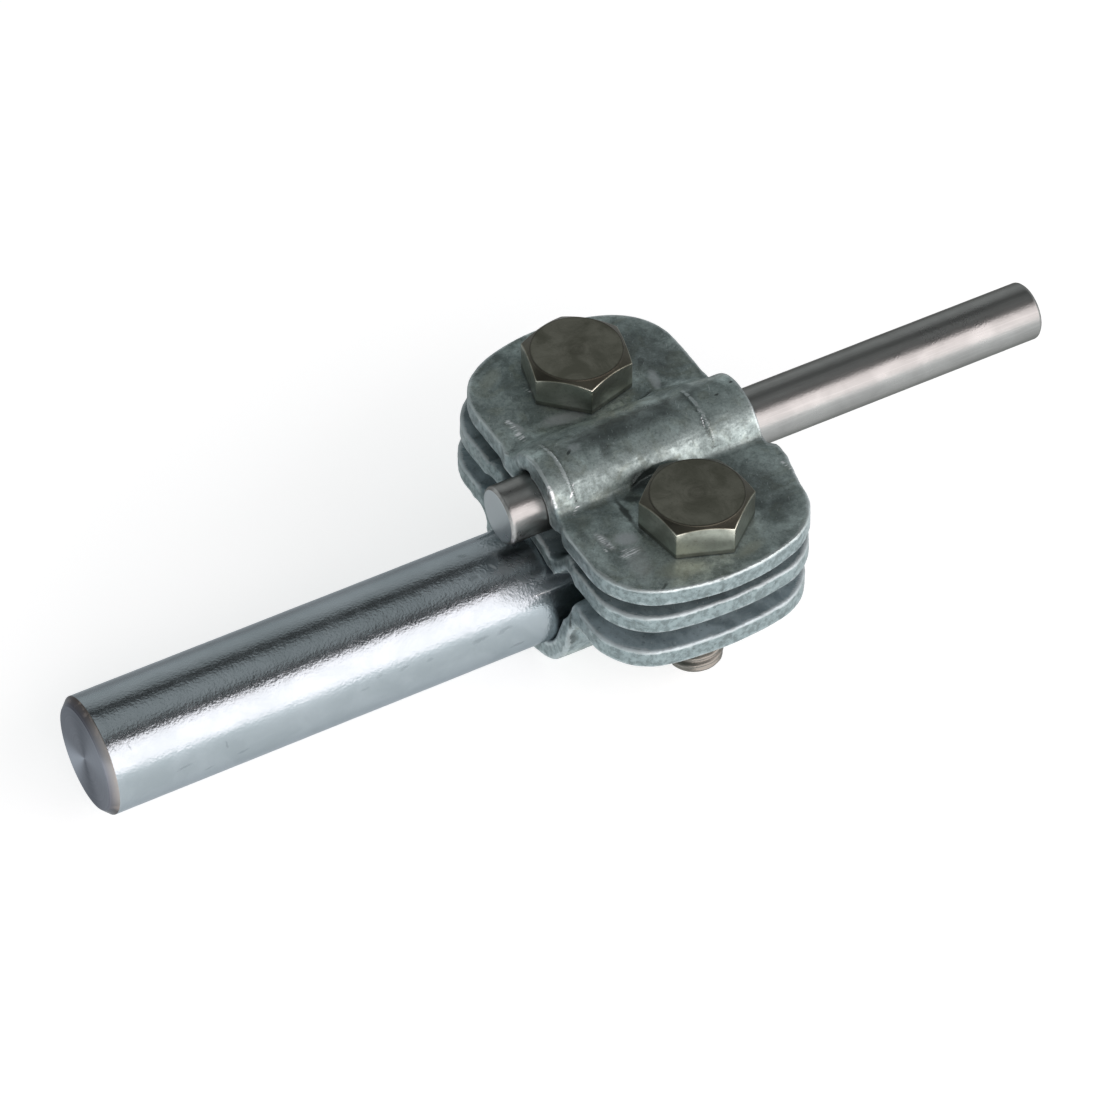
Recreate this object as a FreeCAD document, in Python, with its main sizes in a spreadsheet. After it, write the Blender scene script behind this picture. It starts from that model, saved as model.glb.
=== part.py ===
import FreeCAD, Part
import Sketcher
import math
import os

# Disconnecting clamp: three pressed plates and two hexagon bolts that join an earth rod, below,
# to a round conductor, above. All sizes are in millimetres.
# The origin is on the earth rod's axis in the plane of the two bolts. X runs along the rod and
# the conductor, Y from the right bolt to the left one, and Z up through the plates.

doc = FreeCAD.newDocument("disconnecting_clamp")
sheet = doc.addObject("Spreadsheet::Sheet", "Sizes")

# Driving dimensions: the alias, the value and what it measures
driving_dimensions = (
    ("RodDiameter", 16.0, "earth rod"),
    ("RodFreeEnd", 79.5, "earth rod, from the bolts' plane to its free end"),
    ("RodGrippedEnd", 13.0, "earth rod, from the bolts' plane to its end inside the clamp"),
    ("RodChamfer", 1.0, "turned edges of the rod"),
    ("ConductorDiameter", 8.0, "round conductor"),
    ("ConductorHeight", 13.95, "conductor axis above the rod axis"),
    ("ConductorShortEnd", 20.3, "conductor end that just passes the clamp"),
    ("ConductorLongEnd", 60.0, "conductor end that runs away from the clamp"),
    ("ConductorChamfer", 0.4, "dressed edges of the conductor"),
    ("BoltSpacing", 30.8, "between the two bolts"),
    ("ThreadDiameter", 7.9, "bolt over its thread"),
    ("BoltLength", 24.3, "bolt under its head"),
    ("TipChamfer", 0.8, "bolt tip"),
    ("HeadWidth", 13.0, "bolt head across the flats"),
    ("HeadHeight", 4.95, "bolt head"),
    ("HeadFaceDiameter", 12.35, "round face on top of the bolt head"),
    ("HeadChamferAngle", 30.0, "slope of the head's chamfer, in degrees"),
    ("ChamferReach", 3.0, "head's chamfer, past the corners of the hexagon"),
    ("LeftHeadTurn", 16.0, "left head, from X to a corner, in degrees"),
    ("RightHeadTurn", 39.0, "right head, from X to a corner, in degrees"),
    ("ClearanceHole", 9.0, "bolt holes of the top and middle plates"),
    ("TappedHole", 8.04, "bolt holes of the bottom plate, over the thread"),
    ("TopLobeLength", 26.15, "top plate, from the rod axis to the end of a lobe"),
    ("LowerLobeLength", 25.7, "middle and bottom plates, the same"),
    ("TopCornerRadius", 9.3, "plan corners of the top plate"),
    ("LowerCornerRadius", 8.6, "plan corners of the middle and bottom plates"),
    ("TopEndBow", 0.7, "how far the ends of the top plate are bowed outwards"),
    ("LowerEndBow", 0.5, "middle and bottom plates, the same"),
    ("LobeRoot", 8.6, "where the lobes reach their full width, from the rod axis"),
    ("BlankLength", 44.0, "pressed strip along the rod, before its outline is cut"),
    ("BlankHalfWidth", 28.5, "pressed strip across the rod, before its outline is cut"),
    ("ArchHalfLength", 15.2, "top plate at the arch, along the conductor"),
    ("ArchEndHalfWidth", 7.4, "square ends of the arch"),
    ("TopLeftHalfWidth", 15.0, "top plate, left lobe"),
    ("TopLeftShift", 0.1, "top plate, left lobe off the bolts' plane"),
    ("TopRightHalfWidth", 15.5, "top plate, right lobe"),
    ("TopRightShift", -0.35, "top plate, right lobe off the bolts' plane"),
    ("EarReach", 1.25, "ear at the root of the right lobe, beyond the lobe's side"),
    ("EarEnd", 10.6, "ear, its far end from the rod axis"),
    ("LowerHalfWidth", 15.25, "middle and bottom plates"),
    ("MiddlePlateShift", -0.45, "middle plate off the bolts' plane"),
    ("BottomPlateShift", -0.85, "bottom plate off the bolts' plane"),
    ("RimChamfer", 0.3, "plate edges, broken above and below"),
    ("PlateThickness", 2.75, "top and middle plates"),
    ("TopPlateHeight", 16.65, "upper face of the top plate's lobes"),
    ("ArchCentreHeight", 13.8, "centre of the arch"),
    ("ArchOuterRadius", 6.95, "arch, outside"),
    ("ArchInnerRadius", 4.25, "arch, inside"),
    ("ArchFootRadius", 1.3, "bend outside the foot of the arch"),
    ("ArchMouthRadius", 0.7, "edge inside the foot of the arch"),
    ("ShoulderNearEnd", -14.8, "full left shoulder of the arch, along the rod"),
    ("ShoulderNear", -10.4, "left shoulder, where it is full on the near side"),
    ("ShoulderFar", 9.8, "left shoulder, where it is full on the far side"),
    ("ShoulderFarEnd", 15.1, "left shoulder, its other end"),
    ("ShoulderFoot", 9.5, "foot of the shoulder, just under the lobe's surface"),
    ("ShoulderSideReach", 7.5, "left shoulder, its side from the centre of the arch"),
    ("ShoulderTopReach", 7.4, "left shoulder, its top from the centre of the arch"),
    ("ShoulderSideAngle", 39.0, "side of the shoulder, in degrees from level"),
    ("ShoulderTopAngle", 47.0, "top of the shoulder, in degrees from level"),
    ("ShoulderRoot", 1.6, "where the shoulder leaves the crown, from the middle"),
    ("ShoulderFootRadius", 4.5, "bend at the foot of the shoulder"),
    ("ShoulderSideRadius", 1.7, "edge between side and top of the shoulder"),
    ("ShoulderTopRadius", 9.6, "top of the shoulder"),
    ("ShoulderEndFoot", 6.9, "foot of the shoulder where it runs out into the arch"),
    ("ShoulderSink", 0.1, "how deep its foot and its ends lie under the surface"),
    ("ShoulderBed", 0.5, "how deep the shoulder is bedded in the lobe"),
    ("RightSeatRadius", 10.0, "round seat of the right bolt head, where it bites into the arch"),
    ("LeftSeatRadius", 14.0, "flatter seat of the left bolt head, in the shoulder's foot"),
    ("LeftSeatCentre", 20.4, "left seat, its centre from the middle of the arch"),
    ("LeftSeatShift", 0.5, "left seat off the bolts' plane"),
    ("LeftSeatHalfWidth", 9.6, "left seat along the arch"),
    ("CollarRise", 0.2, "end collars of the arch, at the crown"),
    ("CollarAngle", 22.0, "where the collars begin, in degrees from level"),
    ("CollarRoot", 0.5, "how deep the collars are rooted in the arch"),
    ("NearCollarLength", 3.2, "collar over the conductor's short end"),
    ("FarCollarLength", 6.9, "collar over the conductor's long end"),
    ("LugRadius", 1.5, "small lug on the left shoulder of the arch's near end"),
    ("LugAngle", 57.0, "lug, in degrees from level"),
    ("LugDistance", 5.85, "lug, from the centre of the arch"),
    ("LugReach", 0.4, "lug beyond the end of the arch"),
    ("LugLength", 2.2, "lug along the arch"),
    ("MiddlePlateHeight", 12.05, "upper face of the middle plate's lobes"),
    ("CrownHeight", 9.9, "top of the crown that carries the conductor"),
    ("CrownRadius", 10.9, "crown"),
    ("CrownHalfWidth", 5.7, "crown, from the middle to its valley"),
    ("RidgeRise", 0.45, "ridges above the middle plate's lobes"),
    ("RidgeInner", 8.6, "ridges, inner shoulder"),
    ("RidgeOuter", 10.0, "ridges, outer shoulder"),
    ("RidgeFoot", 11.2, "ridges, where they meet the lobes"),
    ("RidgeRounding", 0.6, "shoulders of the ridges"),
    ("SaddleHeight", 8.05, "top of the saddle over the rod"),
    ("SaddleRadius", 11.9, "saddle"),
    ("SaddleHalfWidth", 6.4, "saddle, from the middle to its lip"),
    ("LipHalfWidth", 7.8, "lips of the saddle, their outer edge"),
    ("LipHeight", 6.75, "lips of the saddle, their outer edge"),
    ("NotchHalfWidth", 8.9, "where the lips meet the underside of the lobes"),
    ("BottomThickness", 2.85, "bottom plate"),
    ("BottomPlateHeight", 6.2, "upper face of the bottom plate's lobes"),
    ("TroughCentreHeight", 0.08, "centre of the trough above the rod axis"),
    ("TroughInnerRadius", 8.1, "trough, inside"),
    ("TroughOuterRadius", 10.8, "trough, outside"),
    ("TroughFlare", 21.0, "lean of the trough's walls, in degrees"),
    ("TroughLipRadius", 1.3, "bend at the mouth of the trough"),
    ("TroughFootRadius", 5.0, "bend under the lobes"),
)
for row, (alias, value, meaning) in enumerate(driving_dimensions, start=1):
    sheet.set("A%d" % row, meaning)
    sheet.set("B%d" % row, str(value))
    sheet.setAlias("B%d" % row, alias)
doc.recompute()


class Dim:
    """A length or angle that carries its value and the expression that binds it to the sheet."""

    def __init__(self, value, text):
        self.value = value
        self.text = text

    def __add__(self, other):
        return Dim(self.value + other.value, "(%s + %s)" % (self.text, other.text))

    def __sub__(self, other):
        return Dim(self.value - other.value, "(%s - %s)" % (self.text, other.text))

    def __mul__(self, other):
        return Dim(self.value * other.value, "(%s * %s)" % (self.text, other.text))

    def __truediv__(self, other):
        return Dim(self.value / other.value, "(%s / %s)" % (self.text, other.text))

    def __neg__(self):
        return Dim(-self.value, "(-1 * %s)" % self.text)


def dim(alias):
    return Dim(float(sheet.get(alias)), "Sizes.%s" % alias)


def number(value):
    return Dim(float(value), repr(value))


def root(square):
    return Dim(math.sqrt(square.value), "sqrt(%s)" % square.text)


def cosine(degrees):
    return Dim(math.cos(math.radians(degrees.value)), "cos(%s * 1 deg)" % degrees.text)


def sine(degrees):
    return Dim(math.sin(math.radians(degrees.value)), "sin(%s * 1 deg)" % degrees.text)


def tangent(degrees):
    return sine(degrees) / cosine(degrees)


zero = number(0)
two = number(2)


def leg(hypotenuse, other_leg):
    return root(hypotenuse * hypotenuse - other_leg * other_leg)


def mirrored(half):
    """The other half of an outline: the same corners, mirrored and in reverse order."""
    corners = [(-x, y) for x, y, bend in half]
    bends = [bend for x, y, bend in half]
    corners.reverse()
    bends = bends[:-1][::-1] + [None]
    return [(x, y, bend) for (x, y), bend in zip(corners, bends)]


def closed(half):
    """A whole outline from the half that starts and ends on the line of symmetry."""
    other = mirrored(half)
    return half[:-1] + other[:-1]


def add_body(label):
    body = doc.addObject("PartDesign::Body", label)
    body.Label = label
    return body


def add_sketch(body, name, role, lift=None):
    """A sketch on one of the body's own planes, lifted off it where a height is given."""
    sketch = body.newObject("Sketcher::SketchObject", name)
    plane = next(feature for feature in body.Origin.OriginFeatures if feature.Role == role)
    sketch.AttachmentSupport = [(plane, "")]
    sketch.MapMode = "FlatFace"
    if lift:
        sketch.setExpression("AttachmentOffset.Base.z", lift.text)
    return sketch


def constrain(sketch, size, *constraint):
    """A dimensional constraint that is bound to the sheet."""
    index = sketch.addConstraint(Sketcher.Constraint(*constraint, size.value))
    sketch.setExpression("Constraints[%d]" % index, size.text)


def place(sketch, curve, end, x, y):
    """Ties a point of a curve to the sketch's origin."""
    constrain(sketch, x, "DistanceX", -1, 1, curve, end)
    constrain(sketch, y, "DistanceY", -1, 1, curve, end)


def arc_between(start, end, bend):
    """The arc of less than half a turn from start to end; a positive radius turns left."""
    chord = end.sub(start)
    half = chord.Length / 2.0
    left = FreeCAD.Vector(-chord.y, chord.x, 0).normalize()
    rise = abs(bend) - math.sqrt(bend * bend - half * half)
    bulge = left.multiply(-rise if bend > 0 else rise)
    middle = start.add(end).multiply(0.5).add(bulge)
    return Part.Arc(start, middle, end)


def draw(sketch, outline):
    """Draws a closed outline of (x, y, radius of the arc to the next corner, or None)."""
    vectors = [FreeCAD.Vector(x.value, y.value, 0) for x, y, bend in outline]
    ends = []
    for index, (x, y, bend) in enumerate(outline):
        start = vectors[index]
        end = vectors[(index + 1) % len(outline)]
        if bend is None:
            curve = sketch.addGeometry(Part.LineSegment(start, end), False)
        else:
            curve = sketch.addGeometry(arc_between(start, end, bend.value), False)
        starts_first = sketch.getPoint(curve, 1).distanceToPoint(start) < 1e-6
        ends.append((curve, 1, 2) if starts_first else (curve, 2, 1))
    for index, (x, y, bend) in enumerate(outline):
        curve, first, last = ends[index]
        following, next_first, next_last = ends[(index + 1) % len(outline)]
        sketch.addConstraint(Sketcher.Constraint("Coincident", curve, last, following, next_first))
        place(sketch, curve, first, x, y)
        if bend is not None:
            constrain(sketch, bend if bend.value > 0 else -bend, "Radius", curve)


def draw_circle(sketch, x, y, diameter):
    centre = FreeCAD.Vector(x.value, y.value, 0)
    circle = Part.Circle(centre, FreeCAD.Vector(0, 0, 1), diameter.value / 2.0)
    index = sketch.addGeometry(circle, False)
    place(sketch, index, 3, x, y)
    constrain(sketch, diameter, "Diameter", index)


def draw_frame(sketch, reach):
    """A square round everything, so that a pocket takes away what is outside the outline."""
    draw(sketch, [(reach, reach, None), (-reach, reach, None), (-reach, -reach, None), (reach, -reach, None)])


def add_pad(body, sketch, length, second=None, symmetric=False, reversed_pad=False):
    pad = body.newObject("PartDesign::Pad", sketch.Name + "_pad")
    pad.Profile = sketch
    pad.setExpression("Length", length.text)
    if second:
        pad.SideType = "Two sides"
        pad.setExpression("Length2", second.text)
    elif symmetric:
        pad.SideType = "Symmetric"
    pad.Reversed = reversed_pad
    return pad


def add_pocket(body, sketch, length=None):
    """A pocket through everything, or upwards from the sketch over a length."""
    pocket = body.newObject("PartDesign::Pocket", sketch.Name + "_pocket")
    pocket.Profile = sketch
    if length:
        pocket.Reversed = True
        pocket.setExpression("Length", length.text)
    else:
        pocket.SideType = "Symmetric"
        pocket.Type = "ThroughAll"
    return pocket


def ridge_edges(shape, spots):
    """Names of the straight edges along X that pass the given (y, z) spots."""
    names = []
    for index, edge in enumerate(shape.Edges, start=1):
        middle = edge.CenterOfMass
        runs_along_x = abs(abs(edge.tangentAt(edge.FirstParameter).x) - 1) < 1e-6
        close = any(math.hypot(middle.y - y, middle.z - z) < 0.02 for y, z in spots)
        if runs_along_x and close:
            names.append("Edge%d" % index)
    return names


def round_edges(body, base, names, radius):
    fillet = body.newObject("PartDesign::Fillet", base.Name + "_fillet")
    fillet.Base = (base, names)
    fillet.setExpression("Radius", radius.text)
    return fillet


def break_edges(body, base, names, alias):
    chamfer = body.newObject("PartDesign::Chamfer", base.Name + "_chamfer")
    chamfer.Base = (base, names)
    chamfer.setExpression("Size", "Sizes.%s" % alias)
    return chamfer


def both_sides(y, z):
    return [(y.value, z.value), (-y.value, z.value)]


def lobe(size, half_width, shift):
    """A lobe's plan, as x along the rod and y outwards, from its +X root round to its -X root."""
    corner = dim(size + "CornerRadius")
    bow = dim(size + "EndBow")
    inset = half_width - corner
    end_radius = (inset * inset + bow * bow) / (two * bow)
    end_centre = dim(size + "LobeLength") - end_radius
    corner_height = end_centre + leg(end_radius - corner, inset)
    reach = end_radius / (end_radius - corner)
    tangent_height = end_centre + (corner_height - end_centre) * reach
    root_height = dim("LobeRoot")
    return [
        (shift + half_width, root_height, None),
        (shift + half_width, corner_height, corner),
        (shift + inset * reach, tangent_height, end_radius),
        (shift - inset * reach, tangent_height, corner),
        (shift - half_width, corner_height, None),
        (shift - half_width, root_height, None),
    ]


def turned(outline):
    """The same outline half a turn round."""
    return [(-x, -y, bend) for x, y, bend in outline]


def lower_plan(shift):
    """Outline of the middle and bottom plates: two equal lobes with straight sides."""
    left = lobe("Lower", dim("LowerHalfWidth"), shift)
    right = turned(lobe("Lower", dim("LowerHalfWidth"), -shift))
    return left[1:-1] + right[1:-1]


def top_plan():
    """Outline of the top plate: two unequal lobes, the square ends of the arch between them, and
    an ear at the +X root of the right lobe."""
    left = lobe("Top", dim("TopLeftHalfWidth"), dim("TopLeftShift"))
    right = turned(lobe("Top", dim("TopRightHalfWidth"), -dim("TopRightShift")))
    end = dim("ArchHalfLength")
    side = dim("ArchEndHalfWidth")
    ear = dim("TopRightShift") + dim("TopRightHalfWidth") + dim("EarReach")
    near_end = [(-end, side, None), (-end, -side, None)]
    ear_and_far_end = [
        (ear, -dim("EarEnd"), None),
        (ear, -dim("LobeRoot"), None),
        (end, -side, None),
        (end, side, None),
    ]
    return left + near_end + right[:-1] + ear_and_far_end


def cut_outline(body, outline):
    """Cuts the pressed strip to its outline and breaks the rim above and below."""
    sketch = add_sketch(body, body.Label + "_plan", "XY_Plane")
    draw_frame(sketch, dim("BlankLength"))
    draw(sketch, outline)
    pocket = add_pocket(body, sketch)
    doc.recompute()
    return break_edges(body, pocket, rim_edges(pocket.Shape), "RimChamfer")


def is_cut(face):
    """Whether a face is upright, as only the cut rim of a pressed strip is."""
    surface = face.Surface
    if surface.TypeId == "Part::GeomPlane":
        return abs(surface.Axis.z) < 1e-6
    return surface.TypeId == "Part::GeomCylinder" and abs(surface.Axis.z) > 1 - 1e-6


def rim_edges(shape):
    """Names of the edges above and below the cut rim of a plate's lobes."""
    names = []
    for index, edge in enumerate(shape.Edges, start=1):
        faces = shape.ancestorsOfType(edge, Part.Face)
        on_lobe = abs(edge.CenterOfMass.y) > dim("LobeRoot").value
        if on_lobe and len(faces) == 2 and is_cut(faces[0]) != is_cut(faces[1]):
            names.append("Edge%d" % index)
    return names


def drill(body, diameter):
    sketch = add_sketch(body, body.Label + "_holes", "XY_Plane")
    half_spacing = dim("BoltSpacing") / two
    draw_circle(sketch, zero, half_spacing, diameter)
    draw_circle(sketch, zero, -half_spacing, diameter)
    return add_pocket(body, sketch)


def make_top_plate():
    """Pressed plate: two lobes joined by a long arch over the conductor, with a full shoulder on
    its left, end collars and bolt seats that bite into the arch's foot."""
    body = add_body("top_plate")
    upper = dim("TopPlateHeight")
    lower = upper - dim("PlateThickness")
    centre = dim("ArchCentreHeight")
    outer = dim("ArchOuterRadius")
    inner = dim("ArchInnerRadius")
    foot = leg(outer, upper - centre)
    mouth = leg(inner, centre - lower)
    half = [
        (zero, centre + inner, -inner),
        (mouth, lower, None),
        (dim("BlankHalfWidth"), lower, None),
        (dim("BlankHalfWidth"), upper, None),
        (foot, upper, outer),
        (zero, centre + outer, None),
    ]
    section = add_sketch(body, "top_section", "YZ_Plane")
    draw(section, closed(half))
    pad = add_pad(body, section, dim("BlankLength"), symmetric=True)
    doc.recompute()
    feet = round_edges(body, pad, ridge_edges(pad.Shape, both_sides(foot, upper)), dim("ArchFootRadius"))
    doc.recompute()
    round_edges(body, feet, ridge_edges(feet.Shape, both_sides(mouth, lower)), dim("ArchMouthRadius"))
    add_collar(body, "near_collar", -dim("ArchHalfLength") + dim("NearCollarLength"), True)
    add_collar(body, "far_collar", dim("ArchHalfLength") - dim("FarCollarLength"), False)
    cut_outline(body, top_plan())
    add_shoulder(body)
    add_lug(body)
    drill(body, dim("ClearanceHole"))
    seats = add_sketch(body, "bolt_seats", "XY_Plane", upper)
    radius = dim("LeftSeatRadius")
    shift = dim("LeftSeatShift")
    width = dim("LeftSeatHalfWidth")
    chord = dim("LeftSeatCentre") - leg(radius, width)
    draw(seats, [(shift - width, chord, radius), (shift + width, chord, None)])
    draw_circle(seats, zero, -dim("BoltSpacing") / two, dim("RightSeatRadius") * two)
    add_pocket(body, seats, outer)
    return body


def shoulder_section(body, name, station, full):
    """The left shoulder across the arch: full, or just under the arch where it runs out."""
    centre = dim("ArchCentreHeight")
    upper = dim("TopPlateHeight")
    sink = dim("ShoulderSink")
    buried = dim("ArchOuterRadius") - sink
    side = dim("ShoulderSideAngle")
    top = dim("ShoulderTopAngle")
    side_reach = dim("ShoulderSideReach") if full else buried
    top_reach = dim("ShoulderTopReach") if full else buried
    foot = dim("ShoulderFoot") if full else dim("ShoulderEndFoot")
    root = dim("ShoulderRoot")
    bed = upper - dim("ShoulderBed")
    sketch = add_sketch(body, name, "YZ_Plane", station)
    draw(sketch, [
        (dim("ArchOuterRadius") - two, bed, None),
        (foot, bed, None),
        (foot, upper - sink, -dim("ShoulderFootRadius")),
        (side_reach * cosine(side), centre + side_reach * sine(side), dim("ShoulderSideRadius") if full else buried),
        (top_reach * cosine(top), centre + top_reach * sine(top), dim("ShoulderTopRadius") if full else buried),
        (root, centre + leg(buried, root), None),
    ])
    return sketch


def add_shoulder(body):
    """The arch's left side stands fuller than a round, and fades out towards both of its ends."""
    sections = [
        shoulder_section(body, "shoulder_near_end", dim("ShoulderNearEnd"), False),
        shoulder_section(body, "shoulder_near", dim("ShoulderNear"), True),
        shoulder_section(body, "shoulder_far", dim("ShoulderFar"), True),
        shoulder_section(body, "shoulder_far_end", dim("ShoulderFarEnd"), False),
    ]
    loft = body.newObject("PartDesign::AdditiveLoft", "left_shoulder")
    loft.Profile = sections[0]
    loft.Sections = sections[1:]
    loft.Ruled = True
    return loft


def add_collar(body, name, step, towards_rod):
    """A collar on the arch, highest at the crown, from its step out past the end of the arch."""
    centre = dim("ArchCentreHeight")
    outer = dim("ArchOuterRadius")
    buried = outer - dim("CollarRoot")
    side = cosine(dim("CollarAngle"))
    up = sine(dim("CollarAngle"))
    spread = outer * side
    rise = outer + dim("CollarRise") - outer * up
    radius = (spread * spread + rise * rise) / (two * rise)
    half = [
        (zero, centre + buried, -buried),
        (buried * side, centre + buried * up, None),
        (spread, centre + outer * up, radius),
        (zero, centre + outer + dim("CollarRise"), None),
    ]
    sketch = add_sketch(body, name, "YZ_Plane", step)
    draw(sketch, closed(half))
    return add_pad(body, sketch, dim("BlankLength") / two, reversed_pad=towards_rod)


def add_lug(body):
    """The small round lug that the press left on the arch's near end."""
    end = -dim("ArchHalfLength") - dim("LugReach")
    y = dim("LugDistance") * cosine(dim("LugAngle"))
    z = dim("ArchCentreHeight") + dim("LugDistance") * sine(dim("LugAngle"))
    sketch = add_sketch(body, "lug", "YZ_Plane", end)
    draw_circle(sketch, y, z, dim("LugRadius") * two)
    return add_pad(body, sketch, dim("LugLength"))


def make_middle_plate():
    """Pressed separating plate: a saddle over the rod whose crown carries the conductor, with a
    ridge on each side."""
    body = add_body("middle_plate")
    upper = dim("MiddlePlateHeight")
    lower = upper - dim("PlateThickness")
    crown = dim("CrownRadius")
    saddle = dim("SaddleRadius")
    crown_edge = dim("CrownHeight") - crown + leg(crown, dim("CrownHalfWidth"))
    saddle_edge = dim("SaddleHeight") - saddle + leg(saddle, dim("SaddleHalfWidth"))
    ridge_top = upper + dim("RidgeRise")
    half = [
        (zero, dim("SaddleHeight"), -saddle),
        (dim("SaddleHalfWidth"), saddle_edge, None),
        (dim("LipHalfWidth"), dim("LipHeight"), None),
        (dim("NotchHalfWidth"), lower, None),
        (dim("BlankHalfWidth"), lower, None),
        (dim("BlankHalfWidth"), upper, None),
        (dim("RidgeFoot"), upper, None),
        (dim("RidgeOuter"), ridge_top, None),
        (dim("RidgeInner"), ridge_top, None),
        (dim("CrownHalfWidth"), crown_edge, crown),
        (zero, dim("CrownHeight"), None),
    ]
    section = add_sketch(body, "middle_section", "YZ_Plane")
    draw(section, closed(half))
    pad = add_pad(body, section, dim("BlankLength"), symmetric=True)
    doc.recompute()
    shoulders = (both_sides(dim("RidgeInner"), ridge_top) + both_sides(dim("RidgeOuter"), ridge_top)
                 + both_sides(dim("CrownHalfWidth"), crown_edge)
                 + both_sides(dim("LipHalfWidth"), dim("LipHeight")))
    round_edges(body, pad, ridge_edges(pad.Shape, shoulders), dim("RidgeRounding"))
    cut_outline(body, lower_plan(dim("MiddlePlateShift")))
    drill(body, dim("ClearanceHole"))
    return body


def make_bottom_plate():
    """Deep pressed plate: a trough for the rod whose walls lean out into two tapped lobes."""
    body = add_body("bottom_plate")
    upper = dim("BottomPlateHeight")
    lower = upper - dim("BottomThickness")
    centre = dim("TroughCentreHeight")
    inner = dim("TroughInnerRadius")
    outer = dim("TroughOuterRadius")
    lean = dim("TroughFlare")
    wall_foot = inner * cosine(lean)
    wall_foot_height = centre - inner * sine(lean)
    mouth = wall_foot + (upper - wall_foot_height) * tangent(lean)
    under = leg(outer, lower - centre)
    half = [
        (zero, centre - outer, outer),
        (outer, centre, outer),
        (under, lower, None),
        (dim("BlankHalfWidth"), lower, None),
        (dim("BlankHalfWidth"), upper, None),
        (mouth, upper, None),
        (wall_foot, wall_foot_height, -inner),
        (zero, centre - inner, None),
    ]
    section = add_sketch(body, "bottom_section", "YZ_Plane")
    draw(section, closed(half))
    pad = add_pad(body, section, dim("BlankLength"), symmetric=True)
    doc.recompute()
    mouths = round_edges(body, pad, ridge_edges(pad.Shape, both_sides(mouth, upper)), dim("TroughLipRadius"))
    doc.recompute()
    round_edges(body, mouths, ridge_edges(mouths.Shape, both_sides(under, lower)), dim("TroughFootRadius"))
    cut_outline(body, lower_plan(dim("BottomPlateShift")))
    drill(body, dim("TappedHole"))
    return body


def make_bolt(label, side, turn):
    """Hexagon bolt, threaded to the head; its own origin is under the head."""
    body = add_body(label)
    head_height = dim("HeadHeight")
    corner = dim("HeadWidth") / two / cosine(number(30))
    corners = []
    for degrees in range(0, 360, 60):
        angle = number(degrees)
        corners.append((corner * cosine(angle), corner * sine(angle), None))
    hexagon = add_sketch(body, label + "_hexagon", "XY_Plane")
    draw(hexagon, corners)
    add_pad(body, hexagon, head_height)
    shank = add_sketch(body, label + "_shank", "XY_Plane")
    draw_circle(shank, zero, zero, dim("ThreadDiameter"))
    pad = add_pad(body, shank, dim("BoltLength"), reversed_pad=True)
    doc.recompute()
    tip = min(range(len(pad.Shape.Edges)), key=lambda index: pad.Shape.Edges[index].CenterOfMass.z)
    break_edges(body, pad, ["Edge%d" % (tip + 1)], "TipChamfer")
    profile = add_sketch(body, label + "_chamfer", "XZ_Plane")
    face = dim("HeadFaceDiameter") / two
    beyond = dim("ChamferReach")
    draw(profile, [
        (face, head_height, None),
        (face + beyond, head_height - beyond * tangent(dim("HeadChamferAngle")), None),
        (face + beyond, head_height, None),
    ])
    groove = body.newObject("PartDesign::Groove", label + "_groove")
    groove.Profile = profile
    groove.ReferenceAxis = (profile, ["V_Axis"])
    groove.Angle = 360
    body.setExpression("Placement.Base.y", "%d * Sizes.BoltSpacing / 2" % side)
    body.setExpression("Placement.Base.z", "Sizes.TopPlateHeight")
    body.setExpression("Placement.Rotation.Angle", "Sizes.%s * 1 deg" % turn)
    return body


def make_earth_rod():
    body = add_body("earth_rod")
    circle = add_sketch(body, "rod_section", "YZ_Plane")
    draw_circle(circle, zero, zero, dim("RodDiameter"))
    pad = add_pad(body, circle, dim("RodGrippedEnd"), second=dim("RodFreeEnd"))
    doc.recompute()
    break_edges(body, pad, end_edges(pad.Shape), "RodChamfer")
    return body


def make_round_conductor():
    body = add_body("round_conductor")
    circle = add_sketch(body, "conductor_section", "YZ_Plane")
    draw_circle(circle, zero, zero, dim("ConductorDiameter"))
    pad = add_pad(body, circle, dim("ConductorLongEnd"), second=dim("ConductorShortEnd"))
    doc.recompute()
    break_edges(body, pad, end_edges(pad.Shape), "ConductorChamfer")
    body.setExpression("Placement.Base.z", "Sizes.ConductorHeight")
    return body


def end_edges(shape):
    """Names of the two round end edges of a rod along X."""
    return ["Edge%d" % index for index, edge in enumerate(shape.Edges, start=1)
            if edge.BoundBox.XLength < 1e-6]


bodies = [
    make_top_plate(),
    make_middle_plate(),
    make_bottom_plate(),
    make_bolt("hexagon_bolt_left", 1, "LeftHeadTurn"),
    make_bolt("hexagon_bolt_right", -1, "RightHeadTurn"),
    make_earth_rod(),
    make_round_conductor(),
]
doc.recompute()

for item in doc.Objects:
    if "Invalid" in item.State or "Error" in item.State:
        raise RuntimeError("%s failed: %s" % (item.Label, item.State))
os.makedirs("parts", exist_ok=True)
for body in bodies:
    if body.Shape.isNull() or not body.Shape.isValid() or len(body.Shape.Solids) != 1:
        raise RuntimeError("%s isn't one valid solid" % body.Label)
    body.Shape.exportStep("parts/%s.step" % body.Label)
    print("%-20s %9.2f mm3" % (body.Label, body.Shape.Volume))
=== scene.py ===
import math

import bmesh
import bpy
import numpy as np
from mathutils import Matrix, Vector


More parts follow.
